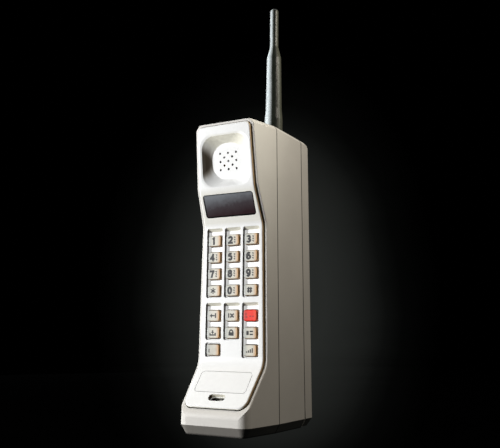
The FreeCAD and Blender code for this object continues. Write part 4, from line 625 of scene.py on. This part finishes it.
for number in range(10):
    key = f"key_{number}"
    shift = ONE_SHIFT if number == 1 else DIGIT_SHIFT
    legend(f"legend_{number}", key, shifted(digit(number), shift), LEGEND_INK)
    if number != 1:
        legend(f"marks_{number}", key, small_marks(), MARK_INK)
legend("legend_star", "key_star", STAR, LEGEND_INK)
legend("legend_hash", "key_hash", HASH, LEGEND_INK)
for key, faces in PICTOGRAMS.items():
    legend("legend_" + key.removeprefix("key_"), key, faces, LEGEND_INK)
legend("legend_send", "key_send", SEND, RED_KEY_INK)
legend("legend_power", "key_power", POWER, FADED_INK)


# ---------------------------------------------------------------- studio
FLOOR_RINGS = (0.02, 0.5, 1.2)
FLOOR_REACH = 2.6
BEND = 1.0                              # radius of the curve from the floor up into the wall
BEND_STEPS = 16
WALL_HEIGHT = 3.2
TURN_STEPS = 96
CLOTH = (0.0003, 0.0003, 0.0003)        # black cloth
CLOTH_WEAVE = (60.0, 3.0)               # noise, as for the surfaces above
POOL_SOURCE = (0.269, -0.472, 0.063)    # the pool of light is painted as seen from here, the camera's place
POOL_TURN = math.radians(28.2)          # its middle, to the left of straight ahead
POOL_RISE = math.radians(3.5)
POOL_REACH = (0.235, 0.345)             # across and up, as shares of the distance
POOL_STRENGTH = 0.0225
POOL_TINT = (0.92, 1.0, 0.93)
POOL_EDGE = (1.7, 3.0)                  # noise that makes its edge uneven
POOL_FADE = ((0.0, 1.0), (0.34, 0.94), (0.47, 0.70), (0.56, 0.50), (0.68, 0.18), (0.78, 0.06), (0.90, 0.02),
             (1.0, 0.0))                # how far out, and how bright there
NEAREST = 0.05                          # keeps the pool's division away from 0


def backdrop_paint():
    """Black cloth with a soft pool of dim light painted on it behind the object."""
    n = Nodes("backdrop")
    offset = n.add("ShaderNodeVectorMath", {0: n.place(), 1: POOL_SOURCE}, operation="SUBTRACT")
    away = offset.outputs["Vector"]
    flat = math.cos(POOL_RISE)
    ahead = (-math.sin(POOL_TURN) * flat, math.cos(POOL_TURN) * flat, math.sin(POOL_RISE))
    level = (math.cos(POOL_TURN), math.sin(POOL_TURN), 0.0)
    above = tuple(Vector(level).cross(Vector(ahead)))

    def along(axis):
        return n.add("ShaderNodeVectorMath", {0: away, 1: axis}, operation="DOT_PRODUCT").outputs["Value"]

    depth = n.math("MAXIMUM", along(ahead), NEAREST)
    across = n.math("DIVIDE", n.math("DIVIDE", along(level), depth), POOL_REACH[0])
    up = n.math("DIVIDE", n.math("DIVIDE", along(above), depth), POOL_REACH[1])
    radius = n.math("SQRT", n.math("ADD", n.math("MULTIPLY", across, across), n.math("MULTIPLY", up, up)))
    ragged = n.math("ADD", radius, n.wander(0.10, POOL_EDGE))
    pool = n.ramp(ragged, *((share, grey(bright)) for share, bright in POOL_FADE))
    pool = n.mix(1.0, pool, POOL_TINT, "MULTIPLY")
    weave = n.vary(CLOTH_WEAVE, scaled(CLOTH, 0.8), CLOTH)
    return n.set(Base_Color=weave, Roughness=0.95, Specular_IOR_Level=0.0, Emission_Color=pool,
                 Emission_Strength=POOL_STRENGTH)


def floor_and_backdrop():
    """A round studio of black cloth: a floor that curves up into a wall all round, open at the top."""
    profile = [(radius, 0.0) for radius in FLOOR_RINGS]
    for i in range(BEND_STEPS + 1):
        angle = math.pi / 2 * i / BEND_STEPS
        profile.append((FLOOR_REACH + BEND * math.sin(angle), BEND - BEND * math.cos(angle)))
    profile.append((FLOOR_REACH + BEND, WALL_HEIGHT))
    mesh = bmesh.new()
    rings = []
    turns = [2 * math.pi * i / TURN_STEPS for i in range(TURN_STEPS)]
    for radius, height in profile:
        rings.append([mesh.verts.new((radius * math.cos(a), radius * math.sin(a), height)) for a in turns])
    mesh.faces.new(rings[0])
    for inner, outer in zip(rings, rings[1:]):
        for i in range(TURN_STEPS):
            j = (i + 1) % TURN_STEPS
            mesh.faces.new((inner[i], outer[i], outer[j], inner[j])).smooth = True
    data = bpy.data.meshes.new("backdrop")
    mesh.to_mesh(data)
    mesh.free()
    data.materials.append(backdrop_paint())
    backdrop = bpy.data.objects.new("backdrop", data)
    bpy.context.scene.collection.objects.link(backdrop)


def lamp(name, light, place, aim):
    """Hangs a light at a place and turns it to what it lights."""
    piece = bpy.data.objects.new(name, light)
    bpy.context.scene.collection.objects.link(piece)
    piece.location = place
    piece.rotation_euler = (Vector(aim) - Vector(place)).to_track_quat("-Z", "Y").to_euler()
    return piece


def area_light(name, place, aim, size, power, colour):
    """A soft rectangular lamp that the camera doesn't see."""
    light = bpy.data.lights.new(name, "AREA")
    light.shape = "RECTANGLE"
    light.size, light.size_y = size
    light.energy = power
    light.color = colour
    lamp(name, light, place, aim).visible_camera = False


def spot_light(name, place, aim, angle, power, colour):
    """A lamp with a cone of light that fades from its middle to its edge. The angle is the full cone."""
    light = bpy.data.lights.new(name, "SPOT")
    light.spot_size = math.radians(angle)
    light.spot_blend = 1.0
    light.shadow_soft_size = SPOT_RADIUS
    light.energy = power
    light.color = colour
    lamp(name, light, place, aim)


def photograph_camera():
    """The camera that took the photograph, as the fit of its perspective gave it."""
    yaw, pitch = CAMERA_YAW, CAMERA_PITCH
    forward = Vector((-math.sin(yaw) * math.cos(pitch), math.cos(yaw) * math.cos(pitch), math.sin(pitch)))
    level = Vector((math.cos(yaw), math.sin(yaw), 0.0))
    above = level.cross(forward)
    right = level * math.cos(CAMERA_ROLL) + above * math.sin(CAMERA_ROLL)
    up = above * math.cos(CAMERA_ROLL) - level * math.sin(CAMERA_ROLL)
    data = bpy.data.cameras.new("photograph")
    data.sensor_fit = "HORIZONTAL"
    data.sensor_width = SENSOR_WIDTH
    data.lens = FOCAL_PIXELS / IMAGE_WIDTH * SENSOR_WIDTH
    data.clip_start = CLIP_START
    camera = bpy.data.objects.new("photograph", data)
    bpy.context.scene.collection.objects.link(camera)
    axes = Matrix((right, up, -forward)).transposed().to_4x4()
    camera.matrix_world = Matrix.Translation(CAMERA_PLACE) @ axes
    bpy.context.scene.camera = camera


floor_and_backdrop()
area_light("key_light", **KEY_LIGHT)
area_light("left_card", **LEFT_CARD)
area_light("side_fill", **SIDE_FILL)
spot_light("side_spot", **SIDE_SPOT)
area_light("top_light", **TOP_LIGHT)

world = bpy.data.worlds.new("studio")
world.use_nodes = True
world.node_tree.nodes["Background"].inputs["Color"].default_value = SKY_COLOUR
world.node_tree.nodes["Background"].inputs["Strength"].default_value = SKY_STRENGTH
bpy.context.scene.world = world
bpy.context.scene.view_settings.view_transform = "Standard"

photograph_camera()
